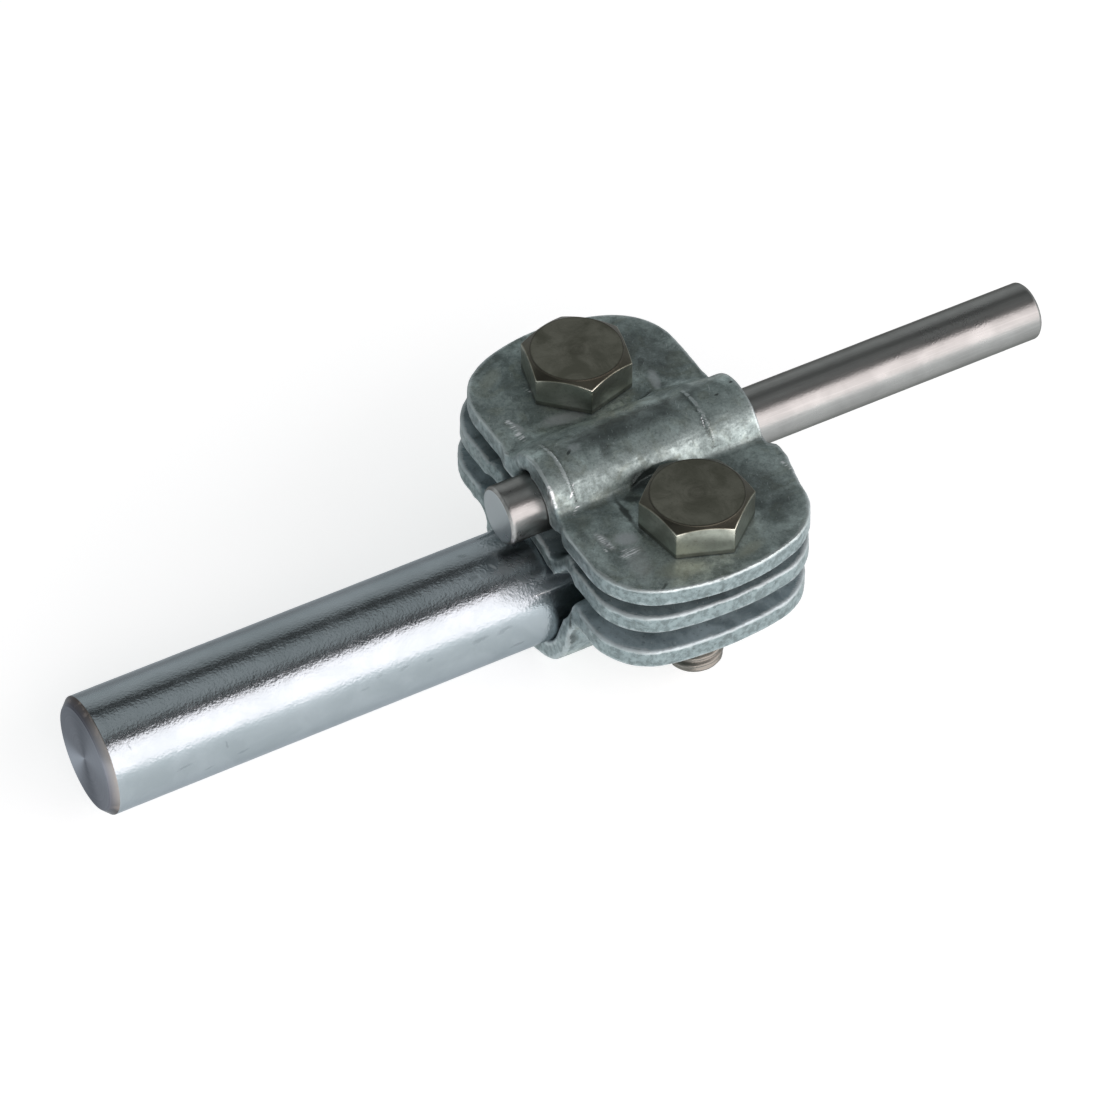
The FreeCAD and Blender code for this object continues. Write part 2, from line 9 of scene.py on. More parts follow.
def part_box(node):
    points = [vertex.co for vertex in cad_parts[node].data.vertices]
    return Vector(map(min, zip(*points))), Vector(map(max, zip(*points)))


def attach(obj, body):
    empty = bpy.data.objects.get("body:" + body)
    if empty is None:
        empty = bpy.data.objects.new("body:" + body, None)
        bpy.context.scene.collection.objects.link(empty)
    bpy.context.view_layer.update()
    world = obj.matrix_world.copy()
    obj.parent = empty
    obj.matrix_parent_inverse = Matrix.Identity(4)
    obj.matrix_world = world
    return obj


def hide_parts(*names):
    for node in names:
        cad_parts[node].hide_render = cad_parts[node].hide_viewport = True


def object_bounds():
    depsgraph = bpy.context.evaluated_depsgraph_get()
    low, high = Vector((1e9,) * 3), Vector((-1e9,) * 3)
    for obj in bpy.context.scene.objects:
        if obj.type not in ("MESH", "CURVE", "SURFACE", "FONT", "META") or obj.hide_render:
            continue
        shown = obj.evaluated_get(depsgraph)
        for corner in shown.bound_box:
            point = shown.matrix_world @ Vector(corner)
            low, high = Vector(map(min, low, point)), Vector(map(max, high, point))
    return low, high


# Disconnecting clamp on an earth rod: pressed zinc plates, stainless bolts, rod and conductor
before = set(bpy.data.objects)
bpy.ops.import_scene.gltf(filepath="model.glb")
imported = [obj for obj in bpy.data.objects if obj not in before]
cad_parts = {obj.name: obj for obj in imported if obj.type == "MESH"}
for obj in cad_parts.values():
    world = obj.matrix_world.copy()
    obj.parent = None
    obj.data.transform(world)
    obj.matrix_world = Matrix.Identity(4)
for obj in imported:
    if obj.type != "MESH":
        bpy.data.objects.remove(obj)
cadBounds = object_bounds()
mm = 0.001

studio = {
    "azimuth": 29.251,           # camera, degrees left of straight ahead
    "elevation": 44.556,
    "roll": -0.11,
    "distance": 670.2 * mm,
    "aim": (-10.05 * mm, 4.6 * mm, -0.91 * mm),
    "lens": 167.92,
    "sensor": 36.0,
    "floorRadius": 6.0,
    "floorColour": (0.62, 0.62, 0.62, 1.0),
    "floorGlow": 0.66,           # lifts the pale floor to white in the picture
    # the floor's glow in reflections, across it: Y in metres, glow
    "floorMirrored": ((-0.5, 1.27), (-0.2, 1.08), (-0.08, 0.88), (-0.02, 0.68), (0.02, 0.46), (0.08, 0.1)),
    "mirroredTint": (0.95, 1.03, 1.05, 1),
    "softboxSize": (2.3, 0.93),
    "softboxDistance": 1.0,
    "softboxElevation": 25.0,
    "softboxAzimuth": 17.0,      # degrees right of straight ahead
    "softboxBrightness": 2.2,
    "softboxColour": (1.0, 0.91, 0.91),
    # the sky's brightness from the horizon up: sine of the elevation, brightness
    "dome": ((0.0, 0.6), (0.38, 0.6), (0.55, 0.48), (0.7, 0.335), (0.77, 0.04), (0.85, 0.02),
             (0.9, 0.22), (0.94, 0.56), (1.0, 0.48)),
    "domeTint": (0.95, 1.01, 1.02),
}


def addObject(name, data):
    made = bpy.data.objects.new(name, data)
    bpy.context.scene.collection.objects.link(made)
    return made


def applied(piece, name):
    # the modifiers' result as a plain mesh on a new object at the origin
    graph = bpy.context.evaluated_depsgraph_get()
    graph.update()
    mesh = bpy.data.meshes.new_from_object(piece.evaluated_get(graph))
    old = piece.data
    bpy.data.objects.remove(piece)
    bpy.data.meshes.remove(old)
    mesh.name = name
    mesh.polygons.foreach_set("use_smooth", [True] * len(mesh.polygons))
    return addObject(name, mesh)


def worked(piece, tree, inputs, name):
    # the piece run through a Geometry Nodes tree
    modifier = piece.modifiers.new(tree.name, "NODES")
    modifier.node_group = tree
    for label, value in inputs.items():
        modifier[tree.interface.items_tree[label].identifier] = value
    return applied(piece, name)


def vectorsOf(items, key):
    values = np.empty(len(items) * 3, np.float32)
    items.foreach_get(key, values)
    return values.reshape(-1, 3)


def coordinates(mesh):
    return vectorsOf(mesh.vertices, "co")


def storeMask(mesh, name, values):
    mask = mesh.attributes.get(name) or mesh.attributes.new(name, "FLOAT", "POINT")
    mask.data.foreach_set("value", np.asarray(values, np.float32))


def pointNormals(mesh):
    return vectorsOf(mesh.vertex_normals, "vector")


class Neighbours:
    # means over the points that each point shares an edge with
    def __init__(self, mesh):
        ends = np.empty(len(mesh.edges) * 2, np.int32)
        mesh.edges.foreach_get("vertices", ends)
        self.first, self.second = ends[0::2], ends[1::2]
        self.count = len(mesh.vertices)
        self.degree = np.maximum(np.bincount(ends, minlength=self.count), 1)

    def mean(self, values):
        if values.ndim == 2:
            return np.stack([self.mean(column) for column in values.T], 1)
        total = np.bincount(self.first, values[self.second], self.count)
        total += np.bincount(self.second, values[self.first], self.count)
        return total / self.degree


def storeWear(mesh, sharp, passes):
    # proud edges and hollows, from how far each point stands off its neighbours
    points = coordinates(mesh)
    near = Neighbours(mesh)
    proud = ((points - near.mean(points)) * pointNormals(mesh)).sum(1)
    for _ in range(passes):
        proud = near.mean(proud)
    storeMask(mesh, "edge", np.clip(proud / sharp, 0, 1))
    storeMask(mesh, "hollow", np.clip(-proud / sharp, 0, 1))


def awayFrom(points, centre, reach):
    # distance from a spot as a share of its reach, both along X, Y and Z in mm
    return np.linalg.norm((points / mm - np.array(centre)) / np.array(reach), axis=1)


def moveTo(mesh, points):
    mesh.vertices.foreach_set("co", points.astype(np.float32).ravel())
    mesh.update()


def soften(mesh, spots):
    # rounds the mesh off round each spot: its centre, its reach and the passes
    points = coordinates(mesh).astype(float)
    near = Neighbours(mesh)
    pull, fade = 0.6, 2.5        # most that a pass moves a point, and how fast that fades at the rim
    for centre, reach, passes in spots:
        weight = pull * np.clip(fade * (1 - awayFrom(points, centre, reach)), 0, 1)[:, None]
        for _ in range(passes):
            points += weight * (near.mean(points) - points)
    moveTo(mesh, points)


def press(mesh, spots):
    # shifts the mesh round each spot: its centre, its reach and the shift
    points = coordinates(mesh).astype(float)
    for centre, reach, shift in spots:
        weight = np.clip(1 - awayFrom(points, centre, reach) ** 2, 0, 1) ** 2
        points += weight[:, None] * np.array(shift) * mm
    moveTo(mesh, points)


def cleaned(mesh, clean):
    shell = bmesh.new()
    shell.from_mesh(mesh)
    clean(shell)
    shell.to_mesh(mesh)
    shell.free()
    return mesh


def ringMesh(name, rings):
    # quads between rings of equal length; a ring of one point closes an end
    points, starts = [], []
    for ring in rings:
        starts.append(len(points))
        points.extend(ring)
    faces = []
    for here in range(len(rings) - 1):
        low, high = rings[here], rings[here + 1]
        count = max(len(low), len(high))
        for step in range(count):
            after = (step + 1) % count
            lowPair = [starts[here] + (0 if len(low) == 1 else k) for k in (step, after)]
            highPair = [starts[here + 1] + (0 if len(high) == 1 else k) for k in (step, after)]
            corners = lowPair + highPair[::-1]
            faces.append(list(dict.fromkeys(corners)))
    mesh = bpy.data.meshes.new(name)
    mesh.from_pydata(points, [], faces)
    return cleaned(mesh, lambda shell: bmesh.ops.recalc_face_normals(shell, faces=shell.faces))


def roundedLine(corners, radii, steps):
    # the open line through the corners, each inner corner rounded by its radius
    line = [corners[0]]
    for before, corner, after, radius in zip(corners, corners[1:], corners[2:], radii):
        here = np.array(corner, float)
        back = np.array(before, float) - here
        ahead = np.array(after, float) - here
        reach = min(radius, 0.45 * np.linalg.norm(back), 0.45 * np.linalg.norm(ahead))
        start = here + back / np.linalg.norm(back) * reach
        end = here + ahead / np.linalg.norm(ahead) * reach
        for step in range(steps + 1):
            t = step / steps
            line.append(tuple((1 - t) ** 2 * start + 2 * t * (1 - t) * here + t * t * end))
    line.append(corners[-1])
    return line


def newGroup(name, inputs, outputs, kind="ShaderNodeTree"):
    # inputs: label, kind of socket and default; outputs: label and kind of socket
    group = bpy.data.node_groups.new(name, kind)
    for label, form, value in inputs:
        socket = group.interface.new_socket(label, in_out="INPUT", socket_type="NodeSocket" + form)
        if value is not None:
            socket.default_value = value
    for label, form in outputs:
        group.interface.new_socket(label, in_out="OUTPUT", socket_type="NodeSocket" + form)
    start = group.nodes.new("NodeGroupInput")
    end = group.nodes.new("NodeGroupOutput")
    return Wiring(group), start.outputs, end.inputs


class Wiring:
    # short calls for making nodes in one tree
    def __init__(self, tree):
        self.tree = tree

    def node(self, kind, **settings):
        made = self.tree.nodes.new(kind)
        for key, value in settings.items():
            setattr(made, key, value)
        return made

    def put(self, socket, value):
        if isinstance(value, bpy.types.NodeSocket):
            self.tree.links.new(value, socket)
        elif value is not None:
            socket.default_value = value

    def feed(self, made, **values):
        for label, value in values.items():
            self.put(made.inputs[label], value)
        return made.outputs

    def maths(self, operation, first, second=None, clamp=False):
        made = self.node("ShaderNodeMath", operation=operation, use_clamp=clamp)
        self.put(made.inputs[0], first)
        self.put(made.inputs[1], second)
        return made.outputs[0]

    def plus(self, first, second):
        return self.maths("ADD", first, second)

    def minus(self, first, second):
        return self.maths("SUBTRACT", first, second)

    def times(self, first, second, clamp=False):
        return self.maths("MULTIPLY", first, second, clamp)

    def divided(self, first, second, clamp=False):
        return self.maths("DIVIDE", first, second, clamp)

    def vectorMaths(self, operation, first, second=None, scale=None):
        made = self.node("ShaderNodeVectorMath", operation=operation)
        self.put(made.inputs[0], first)
        self.put(made.inputs[1], second)
        if scale is not None:
            self.put(made.inputs["Scale"], scale)
        return made.outputs["Value"] if operation in ("LENGTH", "DOT_PRODUCT") else made.outputs[0]

    def parts(self, vector):
        made = self.node("ShaderNodeSeparateXYZ")
        self.put(made.inputs[0], vector)
        return made.outputs

    def joined(self, x, y=0.0, z=0.0):
        made = self.node("ShaderNodeCombineXYZ")
        for socket, value in zip(made.inputs, (x, y, z)):
            self.put(socket, value)
        return made.outputs[0]

    def noises(self, vector, scale, detail, rough, warp):
        made = self.node("ShaderNodeTexNoise")
        return self.feed(made, Vector=vector, Scale=scale, Detail=detail, Roughness=rough, Distortion=warp)

    def noise(self, vector, scale, detail=3.0, rough=0.55, warp=0.0):
        return self.noises(vector, scale, detail, rough, warp)[0]

    def noiseColour(self, vector, scale, detail=3.0, rough=0.55):
        return self.noises(vector, scale, detail, rough, 0.0)[1]

    def spread(self, value, low, high, toLow=0.0, toHigh=1.0):
        made = self.node("ShaderNodeMapRange", interpolation_type="SMOOTHSTEP")
        limits = {"From Min": low, "From Max": high, "To Min": toLow, "To Max": toHigh}
        return self.feed(made, Value=value, **limits)[0]

    def blend(self, factor, first, second):
        made = self.node("ShaderNodeMix", data_type="RGBA")
        self.put(made.inputs[0], factor)
        self.put(made.inputs[6], first)
        self.put(made.inputs[7], second)
        return made.outputs[2]

    def layer(self, under, colour, mask, amount=None):
        # a colour laid over another where the mask is
        return self.blend(mask if amount is None else self.times(mask, amount), under, colour)

    def between(self, factor, first, second):
        made = self.node("ShaderNodeMix", data_type="FLOAT")
        self.put(made.inputs[0], factor)
        self.put(made.inputs[2], first)
        self.put(made.inputs[3], second)
        return made.outputs[0]

    def use(self, group, **values):
        return self.feed(self.node("ShaderNodeGroup", node_tree=group), **values)


def namedMask(w, name):
    mask = w.node("GeometryNodeInputNamedAttribute", data_type="FLOAT")
    mask.inputs["Name"].default_value = name
    return mask.outputs[0]


def moveAndPaint(w, ins, outs, direction, depth):
    # sinks the points against the direction, makes the instances real and sets the material
    offset = w.vectorMaths("SCALE", direction, scale=w.times(depth, -1.0))
    moved = w.feed(w.node("GeometryNodeSetPosition"), Geometry=ins["Geometry"], Offset=offset)
    whole = w.feed(w.node("GeometryNodeRealizeInstances"), Geometry=moved[0])
    painted = w.feed(w.node("GeometryNodeSetMaterial"), Geometry=whole[0], Material=ins["Material"])
    w.put(outs[0], painted[0])


def makeZincSkin():
    # sinks the surface by three sizes of noise, scaled by the piece's own mask
    w, ins, outs = newGroup("zincSkin", [
        ("Geometry", "Geometry", None),
        ("Swell Depth", "Float", 0.1 * mm), ("Swell Size", "Float", 5 * mm),
        ("Dimple Depth", "Float", 0.03 * mm), ("Dimple Size", "Float", 1.5 * mm),
        ("Grain Depth", "Float", 0.01 * mm), ("Grain Size", "Float", 0.5 * mm),
        ("Rim Depth", "Float", 0.0), ("Seed", "Float", 0.0),
        ("Material", "Material", None),
    ], [("Geometry", "Geometry")], "GeometryNodeTree")
    place = w.node("GeometryNodeInputPosition").outputs[0]
    normal = w.node("GeometryNodeInputNormal").outputs[0]
    shifted = w.vectorMaths("ADD", place, w.vectorMaths("SCALE", (0.013, 0.007, 0.021), scale=ins["Seed"]))
    total = None
    for kind, detail in (("Swell", 1.0), ("Dimple", 2.0), ("Grain", 2.0)):
        bumps = w.noise(shifted, w.divided(1.0, ins[kind + " Size"]), detail)
        sunk = w.times(w.spread(bumps, 0.25, 0.75), ins[kind + " Depth"])
        total = sunk if total is None else w.plus(total, sunk)
    upright = w.spread(w.maths("ABSOLUTE", w.parts(normal)["Z"]), 0.75, 0.35)
    rimNoise = w.spread(w.noise(shifted, 1 / (2.2 * mm), 3.0), 0.3, 0.7)
    rim = w.times(w.times(rimNoise, upright), ins["Rim Depth"])
    moveAndPaint(w, ins, outs, normal, w.times(w.plus(total, rim), namedMask(w, "skin")))
    return w.tree


def makeThreadCutter():
    # cuts a helical groove into the shank, running out under the head and at the tip
    w, ins, outs = newGroup("threadCutter", [
        ("Geometry", "Geometry", None),
        ("Pitch", "Float", 1.25 * mm), ("Depth", "Float", 0.6 * mm),
        ("Axis Y", "Float", 0.0), ("Top", "Float", 0.0),
        ("Run Out", "Float", 1.2 * mm), ("Material", "Material", None),
    ], [("Geometry", "Geometry")], "GeometryNodeTree")
    place = w.parts(w.node("GeometryNodeInputPosition").outputs[0])
    x, z = place["X"], place["Z"]
    y = w.minus(place["Y"], ins["Axis Y"])
    turn = w.divided(w.maths("ARCTAN2", y, x), 2 * math.pi)
    # turns up the thread, kept above nought by 40 whole ones
    along = w.maths("FRACT", w.plus(w.minus(w.divided(z, ins["Pitch"]), turn), 40.0))
    flank = w.maths("ABSOLUTE", w.minus(w.times(along, 2.0), 1.0))
    groove = w.divided(w.minus(flank, 0.16), 0.66, clamp=True)
    fade = w.divided(w.minus(ins["Top"], z), ins["Run Out"], clamp=True)
    depth = w.times(w.times(groove, fade), ins["Depth"])
    outward = w.vectorMaths("NORMALIZE", w.joined(x, y))
    moveAndPaint(w, ins, outs, outward, w.times(depth, namedMask(w, "shank")))
    return w.tree


zincSkin = makeZincSkin()
threadCutter = makeThreadCutter()


def makeCloudiness():
    # broad clouds, patches and small specks of a weathered metal coat
    w, ins, outs = newGroup("cloudiness", [
        ("Vector", "Vector", None),
        ("Cloud Size", "Float", 5 * mm), ("Speck Size", "Float", 0.5 * mm),
    ], [("Clouds", "Float"), ("Patches", "Float"), ("Specks", "Float")])
    frequency = w.divided(1.0, ins["Cloud Size"])
    w.put(outs["Clouds"], w.spread(w.noise(ins["Vector"], frequency, 6.0, 0.62, 0.5), 0.34, 0.66))
    shifted = w.vectorMaths("ADD", ins["Vector"], (0.31, 0.17, 0.05))
    patches = w.noise(shifted, w.times(frequency, 1.7), 5.0, 0.65, 0.9)
    w.put(outs["Patches"], w.spread(patches, 0.48, 0.66))
    specks = w.noise(shifted, w.divided(1.0, ins["Speck Size"]), 2.0, 0.5)
    w.put(outs["Specks"], w.spread(specks, 0.6, 0.74))
    return w.tree


def makeEdgeWear():
    # rubbed bright edges, broken up so that no edge is worn evenly
    w, ins, outs = newGroup("edgeWear", [
        ("Vector", "Vector", None), ("Edge", "Float", 0.0),
        ("Amount", "Float", 0.8), ("Break Size", "Float", 1.2 * mm),
    ], [("Mask", "Float")])
    breaks = w.noise(ins["Vector"], w.divided(1.0, ins["Break Size"]), 3.0, 0.6)
    uneven = w.times(w.minus(breaks, 0.5), 1.2)
    worn = w.plus(w.times(ins["Edge"], 1.3), uneven)
    w.put(outs["Mask"], w.times(w.spread(worn, 0.25, 0.85), ins["Amount"], clamp=True))
    return w.tree


def makeScratches():
    # fine straight scratches along X of the vector that comes in
    w, ins, outs = newGroup("scratches", [
        ("Vector", "Vector", None), ("Width", "Float", 0.12 * mm),
        ("Length", "Float", 3 * mm), ("Cut Off", "Float", 0.66),
    ], [("Mask", "Float")])
    parts = w.parts(ins["Vector"])
    stretched = w.joined(w.divided(parts["X"], ins["Length"]), w.divided(parts["Y"], ins["Width"]),
                         w.divided(parts["Z"], ins["Width"]))
    lines = w.noise(stretched, 1.0, 1.0, 0.4)
    w.put(outs["Mask"], w.spread(lines, ins["Cut Off"], w.plus(ins["Cut Off"], 0.06)))
    return w.tree


def makeMark():
    # one soft mark, longest along X of the vector that comes in
    w, ins, outs = newGroup("mark", [
        ("Vector", "Vector", None), ("Length", "Float", 2 * mm),
        ("Width", "Float", 0.5 * mm), ("Strength", "Float", 1.0),
    ], [("Mask", "Float")])
    parts = w.parts(ins["Vector"])
    reach = w.vectorMaths("LENGTH", w.joined(w.divided(parts["X"], ins["Length"]),
                                             w.divided(parts["Y"], ins["Width"]),
                                             w.divided(parts["Z"], 1.2 * mm)))
    w.put(outs["Mask"], w.spread(reach, 1.0, 0.35, 0.0, ins["Strength"]))
    return w.tree


def makeRagged():
    # the vector that comes in, shaken by noise so that marks laid with it get ragged outlines
    w, ins, outs = newGroup("ragged", [
        ("Vector", "Vector", None), ("Reach", "Float", 0.7 * mm),
        ("Size", "Float", 1.1 * mm),
    ], [("Vector", "Vector")])
    noise = w.noiseColour(ins["Vector"], w.divided(1.0, ins["Size"]), 3.0, 0.6)
    shake = w.vectorMaths("SCALE", w.vectorMaths("SUBTRACT", noise, (0.5, 0.5, 0.5)), scale=ins["Reach"])
    w.put(outs["Vector"], w.vectorMaths("ADD", ins["Vector"], shake))
    return w.tree


def makeTurnedFace():
    # concentric tool marks round the X axis, and the sheen they throw across a turned face
    w, ins, outs = newGroup("turnedFace", [
        ("Vector", "Vector", None), ("Ring Size", "Float", 0.3 * mm),
    ], [("Pale", "Float"), ("Dark", "Float"), ("Rings", "Float")])
    flat = w.vectorMaths("MULTIPLY", ins["Vector"], (0, 1, 1))
    radius = w.vectorMaths("LENGTH", flat)
    ray = w.vectorMaths("NORMALIZE", flat)
    fine = w.joined(w.divided(radius, ins["Ring Size"]))
    w.put(outs["Rings"], w.noise(fine, 1.0, 3.0, 0.65))

    def wedge(degrees, sharpness):
        angle = math.radians(degrees)
        along = w.vectorMaths("DOT_PRODUCT", ray, (0, math.cos(angle), math.sin(angle)))
        return w.maths("POWER", w.maths("MAXIMUM", along, 0.0), sharpness)

    w.put(outs["Pale"], w.plus(wedge(-44, 14), w.times(wedge(140, 6), 0.35)))
    w.put(outs["Dark"], w.plus(wedge(-106, 10), w.times(wedge(84, 7), 0.8)))
    return w.tree


def makeUnrolled():
    # a round bar's surface laid flat: X along the bar, Y round it from the front, seam behind
    w, ins, outs = newGroup("unrolled", [
        ("Vector", "Vector", None), ("Radius", "Float", 8 * mm),
    ], [("Vector", "Vector")])
    parts = w.parts(ins["Vector"])
    turn = w.maths("ARCTAN2", parts["Z"], w.times(parts["Y"], -1.0))
    w.put(outs["Vector"], w.joined(parts["X"], w.times(turn, ins["Radius"])))
    return w.tree


cloudiness = makeCloudiness()
edgeWear = makeEdgeWear()
scratches = makeScratches()
mark = makeMark()
ragged = makeRagged()
turnedFace = makeTurnedFace()
unrolled = makeUnrolled()


def newMaterial(name, edgeTint=(1, 1, 1, 1)):
    material = bpy.data.materials.new(name)
    material.use_nodes = True
    w = Wiring(material.node_tree)
    shader = material.node_tree.nodes["Principled BSDF"]
    w.feed(shader, Metallic=1.0, **{"Specular Tint": edgeTint})
    where = w.node("ShaderNodeTexCoord").outputs["Object"]
    return material, w, shader, where


def readMask(w, name):
    return w.node("ShaderNodeAttribute", attribute_name=name).outputs["Fac"]


def turnedVector(w, where, angles, centre=(0, 0, 0)):
    moved = w.node("ShaderNodeMapping", vector_type="TEXTURE")
    radians = [math.radians(angle) for angle in angles]
    return w.feed(moved, Vector=where, Location=centre, Rotation=radians)[0]


def markMask(w, where, marks):
    # each mark: its centre in mm, its turn about X and Z, half its length and width in mm, its strength
    whole = 0.0
    for x, y, z, tilt, turn, length, width, strength in marks:
        local = turnedVector(w, where, (tilt, 0, turn), (x * mm, y * mm, z * mm))
        shape = w.use(mark, Vector=local, Length=length * mm, Width=width * mm, Strength=strength)["Mask"]
        whole = w.maths("MAXIMUM", whole, shape)
    return whole


def cloudsOf(w, where, look):
    sizes = {"Cloud Size": look["cloudSize"], "Speck Size": look["speckSize"]}
    return w.use(cloudiness, Vector=where, **sizes)


def wornEdges(w, where, look):
    values = {"Edge": readMask(w, "edge"), "Amount": look["wearAmount"], "Break Size": look["wearSize"]}
    return w.use(edgeWear, Vector=where, **values)["Mask"]


def scratched(w, vector, width, length, cutOff):
    values = {"Width": width, "Length": length, "Cut Off": cutOff}
    return w.use(scratches, Vector=vector, **values)["Mask"]


def addBump(w, shader, height, look):
    bump = w.feed(w.node("ShaderNodeBump"), Strength=look["bump"], Distance=look["bumpDepth"], Height=height)
    w.put(shader.inputs["Normal"], bump[0])


plateLook = {
    "dark": (0.185, 0.228, 0.22, 1), "pale": (0.5, 0.59, 0.575, 1),
    "cloudSize": 5.5 * mm, "steepSheen": 0.45,   # how pale the steep sides are at least: painted sheen on the arch's flanks
    "stain": (0.245, 0.27, 0.215, 1), "stainAmount": 0.45,
    "speck": (0.075, 0.09, 0.09, 1), "speckSize": 0.6 * mm, "speckAmount": 0.4,
    "grainSize": 0.3 * mm, "grit": 0.26, "blotchSize": 1.3 * mm, "blotch": 0.26,
    # the dark laid into the hollows, and laid as painted shade under the shade marks
    "shadeAndDirt": (0.04, 0.048, 0.046, 1), "hollowDarkening": 0.75,
    "rim": (0.31, 0.375, 0.385, 1), "rimDull": (0.185, 0.225, 0.23, 1),
    "rimSize": 0.9 * mm, "rimAmount": 0.92,
    "inner": (0.25, 0.315, 0.335, 1), "innerDark": (0.11, 0.145, 0.155, 1),
    "metallic": 0.8, "innerMetallic": 0.3,
    "worn": (0.62, 0.67, 0.68, 1), "wearAmount": 0.45, "wearSize": 0.9 * mm,
    "lineTurn": (12, 8, 63), "lines": (0.1 * mm, 2.2 * mm, 0.715),   # width, length and cut off
    "roughHigh": 0.48, "roughLow": 0.3, "roughBlotch": 0.12, "roughWorn": 0.3,
    "bump": 0.7, "bumpDepth": 0.03 * mm,
    "tint": (0.34, 0.36, 0.29, 1), "softPale": (0.52, 0.55, 0.57, 1),
    "scrapeAndGlint": (0.86, 0.88, 0.9, 1), "streaks": (560, 4600, 560),   # streaks per metre along X, Y and Z
    "bright": (), "soft": (), "shadeAndStains": (), "tinted": (),
}
topPlateLook = dict(plateLook, bright=(
    (-10.2, -16.2, 16.6, 0, 2, 1.9, 1.2, 0.9), (-12.0, -13.0, 16.6, 0, -78, 2.4, 0.6, 0.8),
    (-15.2, 14.6, 16.2, 0, 90, 0.7, 0.5, 0.9), (-15.3, 11.2, 16.0, 0, 90, 0.9, 0.5, 0.9),
    (-15.4, 8.8, 15.6, 0, 90, 0.8, 0.5, 0.8), (-11.9, 11.6, 16.6, 0, -84, 2.2, 0.6, 0.8),
    (-11.9, 9.2, 16.6, 0, -84, 1.4, 0.7, 1.0), (-6.8, 16.3, 16.6, 0, -69, 0.9, 0.3, 0.7),
    (-12.7, -14.3, 16.6, 0, -77, 0.8, 0.25, 0.8), (8.0, -9.4, 16.6, 0, 6, 1.6, 0.25, 0.7),
    (-14.9, -4.2, 19.3, 0, -85, 1.4, 0.4, 0.9), (-15.0, -5.3, 18.4, 0, -85, 1.2, 0.3, 0.8),
    (-12.25, -4.9, 18.6, 48, 90, 2.9, 0.16, 1.0), (-12.1, -0.4, 20.75, 0, 90, 2.4, 0.14, 0.7),
    (-12.3, -6.3, 16.9, 70, 90, 1.5, 0.16, 0.9), (8.2, -2.6, 20.2, 22, 90, 2.2, 0.13, 1.0),
    (15.3, -13.0, 16.5, 0, -80, 3.0, 0.35, 0.8),
), soft=(
    (-9.4, -13.9, 16.6, 0, -30, 2.2, 1.6, 0.7), (8.6, 10.0, 16.7, 0, -104, 2.6, 0.9, 0.5),
    (-12.0, -13.0, 16.6, 0, -78, 2.6, 0.9, 0.4), (-10.0, -18.0, 16.6, 0, 75, 4.6, 2.2, 0.3),
    (-11.4, 10.9, 16.6, 0, -75, 1.6, 0.7, 0.5), (-5.2, 9.3, 16.6, 0, -10, 4.2, 1.5, 0.6),
    (-9.0, 0.2, 20.6, 0, 10, 1.2, 1.0, 0.3),
), shadeAndStains=(
    (-7.1, -9.6, 16.8, 0, -91, 3.8, 0.6, 0.85), (-2.7, -6.3, 17.4, 34, 16, 4.2, 1.8, 1.0),
    (-5.2, -8.0, 16.8, 10, -20, 2.0, 0.9, 0.8), (-7.2, -13.2, 16.6, 0, -88, 2.2, 0.35, 0.5),
    (-11.9, -13.9, 16.6, 0, -87, 1.4, 0.25, 0.9), (8.8, 13.8, 16.6, 0, -112, 1.6, 0.8, 0.75),
    (11.4, 15.3, 16.6, 0, -94, 1.1, 0.7, 0.6), (-9.7, -23.7, 16.6, 0, 31, 1.3, 0.3, 0.7),
    (-13.9, -11.0, 16.6, 0, -92, 2.2, 0.9, 0.4), (-10.0, -0.2, 20.7, 0, 40, 0.9, 0.28, 0.9),
    (11.65, -0.45, 20.8, 0, 0, 0.4, 0.3, 0.9), (14.6, 0.75, 20.8, 0, 0, 0.4, 0.25, 0.9),
    (-5.6, -1.8, 20.4, 0, -92, 2.4, 1.1, 0.55), (5.5, 15.5, 16.6, 0, 60, 2.0, 0.8, 0.35),
    (-1.0, 1.4, 20.6, 0, 2, 15.5, 3.6, 0.7), (9.5, 15.0, 16.6, 0, -60, 8.0, 5.0, 0.58),
    (9.5, -14.0, 16.6, 0, -75, 9.0, 5.5, 0.52),
), tinted=(
    (-6.0, -22.0, 16.6, 0, -16, 4.5, 2.2, 0.5), (-10.4, -19.5, 16.6, 0, -95, 2.6, 1.6, 0.15),
    (3.5, -23.0, 16.6, 0, 10, 3.0, 1.2, 0.4), (-10.0, 20.5, 16.6, 0, 40, 3.0, 1.4, 0.35),
))


bottomPlateLook = dict(plateLook, inner=(0.4, 0.5, 0.54, 1), innerDark=(0.17, 0.225, 0.245, 1), shadeAndStains=(
    (-15.5, -11.1, 2.5, 90, 90, 0.45, 2.8, 0.8), (-15.5, -10.6, -1.8, 90, 90, 0.42, 2.8, 0.7),
))


